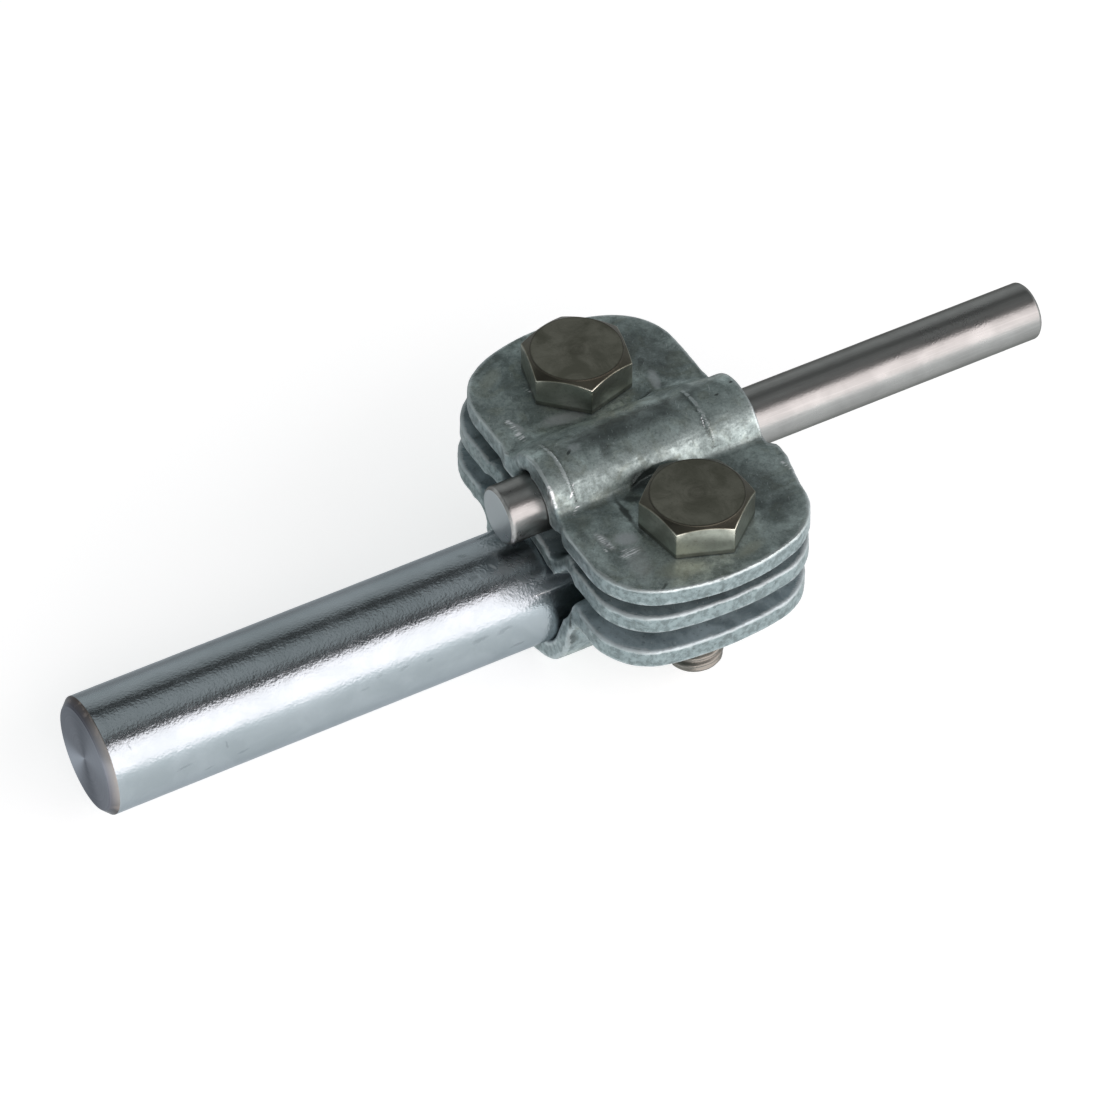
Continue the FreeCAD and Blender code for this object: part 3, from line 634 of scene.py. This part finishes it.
def zincPlateMaterial(name, look):
    material, w, shader, where = newMaterial(name)
    coat = cloudsOf(w, where, look)
    # painted sheen: the steep sides pushed towards the pale colour and made less cloudy
    cloudsAndSheen = w.maths("MAXIMUM", coat["Clouds"], w.times(readMask(w, "steep"), look["steepSheen"]))
    colour = w.blend(cloudsAndSheen, look["dark"], look["pale"])
    colour = w.layer(colour, look["stain"], coat["Patches"], look["stainAmount"])
    grain = w.noise(where, 1 / look["grainSize"], 4.0, 0.65)
    blotch = w.noise(where, 1 / look["blotchSize"], 4.0, 0.6, 0.4)
    grit = w.plus(w.spread(grain, 0.36, 0.64, 0.0, look["grit"]),
                  w.spread(blotch, 0.36, 0.62, 0.0, look["blotch"]))
    colour = w.layer(colour, look["speck"], grit)
    shaken = w.use(ragged, Vector=where)["Vector"]
    colour = w.layer(colour, look["tint"], markMask(w, shaken, look["tinted"]))
    inner = readMask(w, "inner")
    colour = w.layer(colour, w.blend(coat["Clouds"], look["innerDark"], look["inner"]), inner)
    rimCloud = w.noise(where, 1 / look["rimSize"], 4.0, 0.65)
    rim = w.blend(w.spread(rimCloud, 0.36, 0.6), look["rimDull"], look["rim"])
    colour = w.layer(colour, rim, readMask(w, "rim"), look["rimAmount"])
    colour = w.layer(colour, look["speck"], coat["Specks"], look["speckAmount"])
    # darker in the hollows
    colour = w.layer(colour, look["shadeAndDirt"], readMask(w, "hollow"), look["hollowDarkening"])
    # painted shade over the crest, the lobes' outer parts and beside the right bolt's head, with a few
    # stains
    colour = w.layer(colour, look["shadeAndDirt"], markMask(w, shaken, look["shadeAndStains"]))
    # pale smudges, and a painted highlight by the left bolt's seat
    colour = w.layer(colour, look["softPale"], markMask(w, shaken, look["soft"]))
    worn = wornEdges(w, where, look)
    lines = scratched(w, turnedVector(w, where, look["lineTurn"]), *look["lines"])
    colour = w.layer(colour, look["worn"], w.maths("MAXIMUM", worn, w.times(lines, 0.5)))
    # bright marks: scrapes, and painted highlights as glints on the near-left rim and lines along the
    # collars' steps
    streaks = w.spread(w.noise(w.vectorMaths("MULTIPLY", where, look["streaks"]), 1.0, 2.0, 0.55), 0.47, 0.6)
    scrapeAndGlint = w.times(markMask(w, where, look["bright"]), streaks)
    colour = w.layer(colour, look["scrapeAndGlint"], scrapeAndGlint)
    w.put(shader.inputs["Base Color"], colour)
    w.put(shader.inputs["Metallic"], w.between(inner, look["metallic"], look["innerMetallic"]))
    rough = w.plus(w.between(coat["Clouds"], look["roughHigh"], look["roughLow"]),
                   w.times(w.spread(blotch, 0.4, 0.62), look["roughBlotch"]))
    w.put(shader.inputs["Roughness"], w.between(worn, rough, look["roughWorn"]))
    height = w.plus(grain, w.times(blotch, 2.2))
    height = w.minus(height, w.times(lines, 0.6))
    height = w.minus(height, w.times(scrapeAndGlint, 1.2))
    addBump(w, shader, height, look)
    return material


rodLook = {
    "zinc": (0.39, 0.425, 0.45, 1), "zincDull": (0.325, 0.361, 0.381, 1), "dullAmount": 0.7,
    "edgeTint": (0.62, 0.64, 0.66, 1), "cloudSize": 7 * mm, "speckSize": 0.4 * mm,
    "smudge": (0.22, 0.25, 0.265, 1), "smudgeAmount": 0.7, "shine": (0.9, 0.92, 0.93, 1),
    "steel": (0.15, 0.15, 0.175, 1), "steelSheen": (0.46, 0.48, 0.54, 1),
    "steelShade": (0.05, 0.05, 0.066, 1),
    "chamfer": (0.115, 0.098, 0.09, 1), "chamferLit": (0.4, 0.365, 0.35, 1),
    "chamferWorn": (0.52, 0.43, 0.38, 1), "wornSize": 1.6 * mm, "wornAmount": 0.35,
    "litToward": (-0.8, 0.45),   # along Y and Z, the side where the chamfer is painted lit, paler; the rest of it is painted shade
    "roughSkin": (0.2, 0.25), "roughSmudge": 0.15, "roughBare": 0.3,
    "peelSize": 0.33 * mm, "waveSize": 0.9 * mm, "bump": 0.85, "bumpDepth": 0.034 * mm,
    # smudges on the unrolled rod: along it, round it from the front, tilts, half length and width, strength
    "smudges": (
        (-27.2, 1.9, 0, 0, 6, 1.5, 0.4, 0.85), (-23.6, 1.9, 0, 0, 10, 1.5, 0.4, 0.75),
        (-21.9, -1.6, 0, 0, 6, 1.4, 0.3, 0.7), (-24.8, 14.0, 0, 0, -20, 0.9, 0.5, 0.6),
        (-25.3, 10.0, 0, 0, -10, 0.9, 0.5, 0.6), (-75.7, 6.1, 0, 0, -75, 0.7, 0.18, 0.9),
        (-77.7, 6.6, 0, 0, -75, 0.5, 0.16, 0.8), (-63.4, 1.4, 0, 0, -70, 0.7, 0.22, 0.7),
        (-61.3, -0.9, 0, 0, 15, 1.2, 0.25, 0.6), (-69.5, 0.5, 0, 0, 10, 1.4, 0.22, 0.6),
        (-66.0, -1.5, 0, 0, 10, 1.0, 0.22, 0.5), (-38.1, 2.2, 0, 0, 5, 1.0, 0.3, 0.6),
        (-41.6, 2.5, 0, 0, 5, 0.8, 0.25, 0.5), (-34.5, 1.9, 0, 0, 5, 0.8, 0.25, 0.5),
        (-59.9, 16.7, 0, 0, -70, 0.7, 0.3, 0.4), (-43.9, 1.4, 0, 0, 5, 0.9, 0.2, 0.4),
        (-52.0, -4.6, 0, 0, 4, 2.0, 0.25, 0.5), (-35.0, -6.5, 0, 0, 3, 2.2, 0.25, 0.45),
        (-48.0, 22.0, 0, 0, 6, 2.2, 0.3, 0.45), (-30.0, -21.0, 0, 0, -4, 2.4, 0.35, 0.5),
        (-19.5, 8.0, 0, 0, 0, 5.5, 5.0, 0.55),
    ),
    "glints": ((-16.4, 4.8, 0, 0, 0, 3.0, 0.16, 0.9), (-22.2, 10.5, 0, 0, -60, 0.8, 0.3, 0.6)),
}


def rodMaterial():
    look = rodLook
    material, w, shader, where = newMaterial("galvanisedRod", look["edgeTint"])
    flat = w.use(unrolled, Vector=where)["Vector"]
    coat = cloudsOf(w, where, look)
    colour = w.layer(look["zinc"], look["zincDull"], coat["Clouds"], look["dullAmount"])
    shaken = w.use(ragged, Vector=flat)["Vector"]
    smudged = w.times(markMask(w, shaken, look["smudges"]), look["smudgeAmount"])
    colour = w.layer(colour, look["smudge"], smudged)
    colour = w.layer(colour, look["shine"], markMask(w, flat, look["glints"]))
    face = w.use(turnedFace, Vector=where)
    # painted sheen and shade: pale and dark wedges across the turned end, and paler rings
    steel = w.layer(look["steel"], look["steelSheen"], face["Pale"], 0.85)
    steel = w.layer(steel, look["steelShade"], face["Dark"], 0.85)
    steel = w.layer(steel, look["steelSheen"], w.spread(face["Rings"], 0.35, 0.65), 0.1)
    around = w.parts(w.vectorMaths("NORMALIZE", w.vectorMaths("MULTIPLY", where, (0, 1, 1))))
    # painted light and shade: the chamfer pale on one side and dark on the other
    alongY, alongZ = look["litToward"]
    lit = w.spread(w.plus(w.times(around["Y"], alongY), w.times(around["Z"], alongZ)), 0.45, 0.85)
    chamfer = w.blend(lit, look["chamfer"], look["chamferLit"])
    patchy = w.spread(w.noise(where, 1 / look["wornSize"], 4.0, 0.65), 0.5, 0.62)
    chamfer = w.layer(chamfer, look["chamferWorn"], patchy, look["wornAmount"])
    bare = readMask(w, "bare")
    turned = w.blend(readMask(w, "face"), chamfer, steel)
    w.put(shader.inputs["Base Color"], w.layer(colour, turned, bare))
    skinRough = w.plus(w.between(coat["Patches"], *look["roughSkin"]), w.times(smudged, look["roughSmudge"]))
    w.put(shader.inputs["Roughness"], w.between(bare, skinRough, look["roughBare"]))
    peel = w.plus(w.noise(where, 1 / look["peelSize"], 2.0, 0.5),
                  w.times(w.noise(where, 1 / look["waveSize"], 1.0, 0.5), 0.5))
    peel = w.minus(peel, w.times(smudged, 0.5))
    height = w.between(bare, peel, w.times(face["Rings"], 0.5))
    addBump(w, shader, height, look)
    return material


conductorLook = {
    "metal": (0.325, 0.32, 0.312, 1), "dull": (0.255, 0.252, 0.245, 1), "dullAmount": 0.6,
    "edgeTint": (0.36, 0.37, 0.36, 1), "cloudSize": 5 * mm, "speckSize": 0.5 * mm,
    "drawn": (0.16 * mm, 9 * mm, 0.55), "drawnAmount": 0.07,   # width, length and cut off
    "end": (0.64, 0.665, 0.69, 1), "worn": (0.6, 0.585, 0.575, 1), "wearAmount": 0.6, "wearSize": 0.7 * mm,
    "rough": (0.27, 0.33), "grainSize": 0.28 * mm, "bump": 0.8, "bumpDepth": 0.02 * mm,
}


def conductorMaterial():
    look = conductorLook
    material, w, shader, where = newMaterial("roundConductor", look["edgeTint"])
    coat = cloudsOf(w, where, look)
    drawn = scratched(w, where, *look["drawn"])
    colour = w.layer(look["metal"], look["dull"], coat["Clouds"], look["dullAmount"])
    colour = w.layer(colour, look["worn"], drawn, look["drawnAmount"])
    colour = w.layer(colour, look["end"], readMask(w, "face"))
    worn = w.times(wornEdges(w, where, look), readMask(w, "bare"))
    w.put(shader.inputs["Base Color"], w.layer(colour, look["worn"], worn))
    w.put(shader.inputs["Roughness"], w.between(coat["Clouds"], *look["rough"]))
    addBump(w, shader, w.noise(where, 1 / look["grainSize"], 2.0), look)
    return material


boltLook = {
    "steel": (0.145, 0.142, 0.11, 1), "pale": (0.255, 0.245, 0.2, 1), "cloudSize": 4.5 * mm,
    "dark": (0.07, 0.062, 0.048, 1), "swirlAmount": 0.3, "speckSize": 0.4 * mm, "speckAmount": 0.25,
    "flank": (0.46, 0.475, 0.41, 1), "flankDull": (0.27, 0.275, 0.235, 1), "thread": (0.2, 0.19, 0.17, 1),
    "chamfer": (0.052, 0.046, 0.036, 1), "chamferShadeAmount": 0.92,
    "worn": (0.72, 0.7, 0.6, 1), "wearAmount": 0.95, "wearSize": 2.6 * mm,
    "rough": (0.38, 0.3), "roughWorn": 0.22,
    "grainSize": 0.25 * mm, "waveSize": 1.6 * mm, "bump": 0.4, "bumpDepth": 0.025 * mm,
}


def boltMaterial():
    look = boltLook
    material, w, shader, where = newMaterial("stainlessBolt")
    coat = cloudsOf(w, where, look)
    colour = w.blend(coat["Clouds"], look["steel"], look["pale"])
    # tool marks round the middle of the head's face
    turning = readMask(w, "turning")
    swirl = w.noise(w.joined(w.times(turning, 1.6)), 1.0, 3.0, 0.6)
    central = w.spread(turning, 3.5, 0.5)
    colour = w.layer(colour, look["dark"], w.times(w.spread(swirl, 0.4, 0.65), central), look["swirlAmount"])
    # painted light: the head's sides get a paler copy of the steel than its face
    colour = w.layer(colour, w.blend(coat["Clouds"], look["flankDull"], look["flank"]), readMask(w, "flank"))
    colour = w.layer(colour, look["thread"], readMask(w, "shank"))
    colour = w.layer(colour, look["dark"], coat["Specks"], look["speckAmount"])
    # painted shade on the chamfer's slope and under the head, laid by the hollow mask
    colour = w.layer(colour, look["chamfer"], readMask(w, "hollow"), look["chamferShadeAmount"])
    # worn edges, with a painted highlight on one side
    worn = wornEdges(w, where, look)
    w.put(shader.inputs["Base Color"], w.layer(colour, look["worn"], worn))
    rough = w.between(coat["Clouds"], *look["rough"])
    w.put(shader.inputs["Roughness"], w.between(worn, rough, look["roughWorn"]))
    height = w.plus(w.noise(where, 1 / look["grainSize"], 3.0, 0.6),
                    w.times(w.noise(where, 1 / look["waveSize"], 2.0), 2.2))
    height = w.plus(height, w.times(swirl, 0.5))
    addBump(w, shader, height, look)
    return material


plates = {
    # fineness: share of the grid across the plate; inner: sides that look into a gap, up or down
    # pressed: centre, reach and shift in mm; softened: centre and reach in mm, passes
    "top_plate": {
        "piece": "topPlate", "body": "upper", "seed": 1.0, "fineness": 0.95, "look": topPlateLook,
        "inner": (-1,), "pressed": (),
        "softened": (((-15.2, 3.9, 17.6), (2.6, 3.4, 3.8), 90), ((-15.2, -7.6, 16.0), (2.0, 2.4, 3.0), 30),
                     ((-10.6, 6.2, 18.0), (3.2, 3.2, 2.4), 16), ((10.2, 6.2, 18.0), (3.2, 3.2, 2.4), 16)),
    },
    "middle_plate": {
        "piece": "middlePlate", "body": "base", "seed": 4.0, "fineness": 0.95, "look": plateLook,
        "inner": (1, -1),
        "pressed": [((-16.0, y, 7.6), (5.0, 2.4, 3.2), (0, 0, 1.1)) for y in (-6.9, 6.9)],
        "softened": [((-15.2, y, 10.0), (4.0, 3.6, 3.6), 120) for y in (-8.2, 8.2)],
    },
    "bottom_plate": {
        "piece": "bottomPlate", "body": "base", "seed": 7.0, "fineness": 0.84, "look": bottomPlateLook,
        "inner": (1,), "pressed": (),
        "softened": [((x, y, 4.2), (3.6, 3.4, 3.6), 70) for x in (-15.2, 15.2) for y in (-11.0, 11.0)],
    },
}
plateSkin = {
    "Swell Depth": 0.045 * mm, "Swell Size": 5 * mm, "Dimple Depth": 0.02 * mm, "Dimple Size": 1.6 * mm,
    "Grain Depth": 0.01 * mm, "Grain Size": 0.6 * mm, "Rim Depth": 0.09 * mm,
}


plateForm = {
    "gridDepth": 8, "weld": 0.0005 * mm, "wear": 0.022 * mm,
    # parts of a normal: into a gap, level enough not to be steep, upright, and facing along the rod
    "innerFrom": 0.3, "innerGain": 4, "level": 0.93, "levelFade": 0.18, "upright": 0.5, "endways": 0.75,
    "lugFrom": 9.6 * mm,         # from here out every upright side is a cut one
}


def storeSides(mesh, innerSides):
    # the cut sides of a pressed plate, upright and out at its edge, and the faces that look into a gap
    form = plateForm
    aside = np.abs(coordinates(mesh)[:, 1])
    normals = pointNormals(mesh)
    inner = np.zeros(len(normals))
    for side in innerSides:
        inner += np.clip(form["innerGain"] * (side * normals[:, 2] - form["innerFrom"]), 0, 1)
    storeMask(mesh, "inner", inner)
    level = np.abs(normals[:, 2])
    storeMask(mesh, "steep", np.clip((form["level"] - level) / form["levelFade"], 0, 1))
    upright = level < form["upright"]
    outside = (aside > form["lugFrom"]) | (np.abs(normals[:, 0]) > form["endways"])
    rim = (upright & outside).astype(float)
    storeMask(mesh, "rim", Neighbours(mesh).mean(rim) * 0.5 + rim * 0.5)


def pressedPlate(node, plate):
    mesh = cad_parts[node].data.copy()
    mesh.materials.clear()
    weld = plateForm["weld"]
    cleaned(mesh, lambda shell: bmesh.ops.remove_doubles(shell, verts=shell.verts, dist=weld))
    piece = addObject(plate["piece"] + "Rough", mesh)
    fine = piece.modifiers.new("fineGrid", "REMESH")
    fine.mode = "SHARP"
    fine.octree_depth = plateForm["gridDepth"]
    fine.scale = plate["fineness"]
    fine.use_remove_disconnected = False
    piece = applied(piece, plate["piece"] + "Grid")
    press(piece.data, plate["pressed"])
    soften(piece.data, plate["softened"])
    storeMask(piece.data, "skin", np.ones(len(piece.data.vertices)))
    material = zincPlateMaterial(plate["piece"] + "Zinc", plate["look"])
    skin = dict(plateSkin, Seed=plate["seed"], Material=material)
    piece = worked(piece, zincSkin, skin, plate["piece"])
    storeWear(piece.data, plateForm["wear"], 2)
    storeSides(piece.data, plate["inner"])
    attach(piece, plate["body"])
    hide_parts(node)
    print(plate["piece"], len(piece.data.vertices), "points")


bars = {
    "earth_rod": {
        "piece": "earthRod", "body": "base", "slot": "galvanised_rod", "radius": 8.0 * mm,
        "chamfer": 1.0 * mm, "rounding": 0.12 * mm, "grooves": 0.008 * mm, "grooveEvery": 0.45 * mm,
        "around": 164, "step": 0.33 * mm, "seed": 11.0, "wear": 0.02 * mm,
        "skin": {"Swell Depth": 0.012 * mm, "Swell Size": 6 * mm, "Dimple Depth": 0.008 * mm,
                 "Dimple Size": 1.3 * mm, "Grain Depth": 0.003 * mm, "Grain Size": 0.7 * mm},
    },
    "round_conductor": {
        "piece": "roundConductor", "body": "base", "slot": "round_conductor", "radius": 4.0 * mm,
        "chamfer": 0.4 * mm, "rounding": 0.25 * mm, "grooves": 0.004 * mm, "grooveEvery": 0.5 * mm,
        "around": 96, "step": 0.4 * mm, "seed": 17.0, "wear": 0.02 * mm,
        "skin": {"Swell Depth": 0.014 * mm, "Swell Size": 7 * mm, "Dimple Depth": 0.005 * mm,
                 "Dimple Size": 1.5 * mm, "Grain Depth": 0.002 * mm, "Grain Size": 0.7 * mm},
    },
}


barMasks = {"skinFrom": 1.03, "faceTo": 0.06}   # distances from either end, in chamfers


def roundBar(node, bar, material):
    low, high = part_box(node)
    height = (low.z + high.z) / 2
    radius, chamfer = bar["radius"], bar["chamfer"]
    flat = radius - chamfer
    faceRings = [(low.x, 0.0)]
    reach = bar["grooveEvery"]
    while reach < flat - bar["rounding"]:
        faceRings.append((low.x + bar["grooves"] * (len(faceRings) % 2), reach))
        reach += bar["grooveEvery"]
    edge = roundedLine([(low.x, flat - bar["rounding"]), (low.x, flat), (low.x + chamfer, radius),
                        (low.x + 2 * chamfer, radius)], [bar["rounding"]] * 2, 4)
    nearEnd = faceRings + edge
    farEnd = [(low.x + high.x - x, r) for x, r in nearEnd]
    length = high.x - low.x - 4 * chamfer
    count = round(length / bar["step"])
    shank = [(low.x + 2 * chamfer + length * k / count, radius) for k in range(1, count)]
    rings, skins, faces = [], [], []
    for x, r in nearEnd + shank + farEnd[::-1]:
        inward = min(x - low.x, high.x - x)
        angles = [2 * math.pi * k / bar["around"] for k in range(bar["around"])] if r > 0 else [0.0]
        rings.append([(x, r * math.cos(a), height + r * math.sin(a)) for a in angles])
        skins.extend([float(inward > barMasks["skinFrom"] * chamfer)] * len(angles))
        faces.extend([float(inward < barMasks["faceTo"] * chamfer)] * len(angles))
    mesh = ringMesh(bar["piece"] + "Turned", rings)
    storeMask(mesh, "skin", skins)
    storeMask(mesh, "bare", 1.0 - np.array(skins))
    storeMask(mesh, "face", faces)
    skin = dict(bar["skin"], Seed=bar["seed"], Material=material)
    piece = worked(addObject(bar["piece"] + "Rough", mesh), zincSkin, skin, bar["piece"])
    storeWear(piece.data, bar["wear"], 2)
    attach(piece, bar["body"])
    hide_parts(node)
    print(bar["piece"], len(piece.data.vertices), "points")


bolts = {
    "hexagon_bolt_left": {"piece": "leftBolt", "body": "left_bolt", "turn": 16.0},
    "hexagon_bolt_right": {"piece": "rightBolt", "body": "right_bolt", "turn": 39.0},
}
boltForm = {
    "acrossFlats": 13.0 * mm, "headHeight": 4.95 * mm, "faceRadius": 6.12 * mm, "slope": 30.0,
    "faceStep": 0.12 * mm, "faceRound": 0.03 * mm, "edgeRound": 0.1 * mm, "cornerRound": 0.22 * mm,
    "footRound": 0.02 * mm, "dish": 0.07 * mm, "seatRound": 0.15 * mm, "faceRings": 12,
    "shankRadius": 3.95 * mm, "underHead": 0.35 * mm, "tip": 0.8 * mm, "tipRadius": 1.2 * mm,
    "pitch": 1.25 * mm, "threadDepth": 0.62 * mm, "threadBelow": 1.0 * mm,
    "rowsPerTurn": 9,            # rings of the mesh in each turn of the thread
    "glintToward": 236.0,       # where the edges are brightest, degrees from X: wear with a painted highlight on that side
    "glintLeast": 0.35, "wornFlat": 0.06, "wornCorner": 3.9,
    # the outline's rings, counted from the rim of the face
    "shadedRings": range(2, 9), "dimRings": range(12), "wornRings": range(12, 17), "sideFrom": 15,
    "sideRings": (0.4, 0.32, 0.24, 0.17, 0.12),   # heights on the side as shares of the head's
    "pastMarks": 6.0,            # mm from the axis, where the face's tool marks have ended
}


def hexagonReach(angle, flat, corner):
    # distance from the axis to a hexagon with rounded corners
    half = math.pi / 6           # half a side, as an angle
    offset = (angle + half) % (math.pi / 3) - half
    centre = (flat - corner) / math.cos(half)
    limit = math.atan2(corner * math.sin(half), centre + corner * math.cos(half))
    if abs(offset) < limit:
        return centre * math.cos(offset) + math.sqrt(corner ** 2 - (centre * math.sin(offset)) ** 2)
    return flat / math.cos(half - abs(offset))


def boltAngles():
    # closer together at the six corners
    half = [0.0, 0.4, 0.8, 1.3, 2.0, 3.5, 6.0, 9.5, 13.5, 17.5, 21.5, 25.5, 30.0]
    sector = half + [60.0 - value for value in half[-2:0:-1]]
    return [math.radians(60 * side + value) for side in range(6) for value in sector]


def headLine(angle, turn, top, seat):
    # the head's outline at one angle, from the dished face over the chamfer and down to the seat,
    # with the masks of each point: worn edge with a painted highlight on one side,
    # shaded hollow, side, and tool marks on the face
    form = boltForm
    reach = hexagonReach(angle, form["acrossFlats"] / 2, form["cornerRound"])
    corner = reach / (form["acrossFlats"] / 2) - 1
    # painted highlight: the edges count as more worn, and so brighter, on the side they turn towards
    facing = max(0.0, math.cos(angle + turn - math.radians(form["glintToward"])))
    wearAndGlint = form["glintLeast"] + (1 - form["glintLeast"]) * facing
    face, step, past = form["faceRadius"], form["faceStep"], form["pastMarks"]
    drop = step + (reach - face) * math.tan(math.radians(form["slope"]))
    onSide = [seat + form["headHeight"] * share for share in form["sideRings"]]
    line = []
    for k in range(1, form["faceRings"] + 1):
        share = k / (form["faceRings"] + 0.5)
        height = top - form["dish"] * (1 - share ** 2)
        line.append((face * share, height, 0.0, 0.0, 0.0, face * share / mm))
    crown = roundedLine([line[-1][:2], (face, top), (face + 0.3 * step, top - step), (reach, top - drop),
                         (reach, onSide[0])],
                        [form["faceRound"], form["footRound"], form["edgeRound"]], 4)[1:]
    # two more rings on the slope, for the shade that ends on it
    foot, rim = np.array(crown[9]), np.array(crown[10])
    crown[10:10] = [tuple(foot + share * (rim - foot)) for share in (0.5, 0.9)]
    for number, (radius, height) in enumerate(crown):
        onEdge = number in form["wornRings"]
        shaded = 1.0 if number in form["shadedRings"] else 0.8 if number in form["dimRings"] else 0.0
        worn = (form["wornFlat"] + form["wornCorner"] * corner) * wearAndGlint if onEdge else 0.0
        line.append((radius, height, worn, shaded, float(number >= form["sideFrom"]), past))
    line.extend((reach, height, 0.0, 0.0, 1.0, past) for height in onSide[1:-1])
    under = roundedLine([(reach, onSide[-1]), (reach, seat), (0.75 * reach, seat)], [form["seatRound"]], 3)
    line.extend((radius, height, 0.0, 0.6, 1.0, past) for radius, height in under)
    return line


def hexagonBolt(node, bolt, material):
    low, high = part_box(node)
    form = boltForm
    middle = (low.y + high.y) / 2
    top = high.z
    seat = top - form["headHeight"]
    turn = math.radians(bolt["turn"])
    angles = boltAngles()
    lines = [headLine(angle, turn, top, seat) for angle in angles]
    rings = [[(0.0, middle, top - form["dish"])]]
    masks = [(0.0, 0.0, 0.0, 0.0, 0.0)]

    def ringAt(points):
        # each point: its distance from the axis, height, and five masks
        rings.append([(p[0] * math.cos(a + turn), middle + p[0] * math.sin(a + turn), p[1])
                      for a, p in zip(angles, points)])
        masks.extend(p[2:] for p in points)

    for points in zip(*lines):
        ringAt([p + (0.0,) for p in points])
    shank = form["shankRadius"]
    foot = seat - form["underHead"]
    rows = round((foot - low.z) / (form["pitch"] / form["rowsPerTurn"]))
    shankRings = [(shank + form["underHead"], seat, 0.0), (shank, foot, 0.0)]
    for k in range(1, rows + 1):
        z = foot - (foot - low.z) * k / rows
        shankRings.append((shank - max(0.0, form["tip"] - (z - low.z)), z, 1.0))
    shankRings.append((form["tipRadius"], low.z, 0.0))
    for radius, z, threaded in shankRings:
        ringAt([(radius, z, 0.0, 0.0, 0.0, form["pastMarks"], threaded)] * len(angles))
    rings.append([(0.0, middle, low.z)])
    masks.append((0.0, 0.0, 0.0, form["pastMarks"], 0.0))
    mesh = ringMesh(bolt["piece"] + "Blank", rings)
    for name, values in zip(("edge", "hollow", "flank", "turning", "shank"), zip(*masks)):
        storeMask(mesh, name, values)
    thread = {"Pitch": form["pitch"], "Depth": form["threadDepth"], "Axis Y": middle,
              "Top": seat - form["threadBelow"], "Material": material}
    piece = worked(addObject(bolt["piece"] + "Rough", mesh), threadCutter, thread, bolt["piece"])
    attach(piece, bolt["body"])
    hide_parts(node)
    print(bolt["piece"], len(piece.data.vertices), "points")


for node, plate in plates.items():
    pressedPlate(node, plate)
barMaterials = {"earth_rod": rodMaterial(), "round_conductor": conductorMaterial()}
for node, bar in bars.items():
    roundBar(node, bar, barMaterials[node])
stainless = boltMaterial()
for node, bolt in bolts.items():
    hexagonBolt(node, bolt, stainless)


def rampColour(w, value, stops):
    ramp = w.node("ShaderNodeValToRGB")
    while len(ramp.color_ramp.elements) < len(stops):
        ramp.color_ramp.elements.new(0.5)
    for element, (place, colour) in zip(ramp.color_ramp.elements, stops):
        element.position = place
        element.color = colour
    w.put(ramp.inputs[0], value)
    return ramp.outputs[0]


def makeFloor():
    level = cadBounds[0][2]
    mesh = bpy.data.meshes.new("floor")
    reach = studio["floorRadius"]
    corners = [(x * reach, y * reach, level) for x, y in ((-1, -1), (1, -1), (1, 1), (-1, 1))]
    mesh.from_pydata(corners, [], [(0, 1, 2, 3)])
    floor = addObject("floor", mesh)
    material, w, shader, where = newMaterial("paleFloor")
    plain = {"Base Color": studio["floorColour"], "Specular IOR Level": 0.0}
    w.feed(shader, Metallic=0.0, Roughness=1.0, **plain)
    path = w.node("ShaderNodeLightPath").outputs
    stops = studio["floorMirrored"]
    near, far = stops[0][0], stops[-1][0]
    across = w.parts(where)["Y"]
    tones = [((place - near) / (far - near), (glow, glow, glow, 1)) for place, glow in stops]
    grey = rampColour(w, w.divided(w.minus(across, near), far - near), tones)
    mirrored = w.times(path["Is Glossy Ray"], grey)
    w.put(shader.inputs["Emission Color"],
          w.blend(path["Is Glossy Ray"], (1, 1, 1, 1), studio["mirroredTint"]))
    w.put(shader.inputs["Emission Strength"],
          w.plus(w.times(path["Is Camera Ray"], studio["floorGlow"]), mirrored))
    mesh.materials.append(material)


def makeDome():
    world = bpy.data.worlds.new("studioDome")
    bpy.context.scene.world = world
    world.use_nodes = True
    w = Wiring(world.node_tree)
    rise = w.parts(w.node("ShaderNodeTexCoord").outputs["Generated"])["Z"]
    stops = [(place, [level * part for part in studio["domeTint"]] + [1]) for place, level in studio["dome"]]
    w.feed(world.node_tree.nodes["Background"], Color=rampColour(w, rise, stops))


def awayAt(side, up):
    # unit vector out from the middle, by degrees to the right of straight ahead and degrees up
    side, up = math.radians(side), math.radians(up)
    return Vector((math.sin(side) * math.cos(up), -math.cos(side) * math.cos(up), math.sin(up)))


def makeSoftbox():
    wide, tall = studio["softboxSize"]
    lamp = bpy.data.lights.new("softbox", "AREA")
    lamp.shape = "RECTANGLE"
    lamp.size = wide
    lamp.size_y = tall
    lamp.energy = studio["softboxBrightness"] * math.pi * wide * tall
    lamp.color = studio["softboxColour"]
    softbox = addObject("softbox", lamp)
    away = awayAt(studio["softboxAzimuth"], studio["softboxElevation"])
    softbox.location = away * studio["softboxDistance"]
    softbox.rotation_euler = (-away).to_track_quat("-Z", "Y").to_euler()


def makeCamera():
    lens = bpy.data.cameras.new("camera")
    lens.lens = studio["lens"]
    lens.sensor_width = studio["sensor"]
    lens.clip_start = 0.01
    lens.clip_end = 50.0
    camera = addObject("camera", lens)
    away = awayAt(-studio["azimuth"], studio["elevation"])
    turn = (-away).to_track_quat("-Z", "Y").to_matrix().to_4x4()
    roll = Matrix.Rotation(math.radians(studio["roll"]), 4, "Z")
    place = Matrix.Translation(Vector(studio["aim"]) + away * studio["distance"])
    camera.matrix_world = place @ turn @ roll
    bpy.context.scene.camera = camera


makeFloor()
makeDome()
makeSoftbox()
makeCamera()
bpy.context.scene.view_settings.view_transform = "Standard"
print("studio ready")
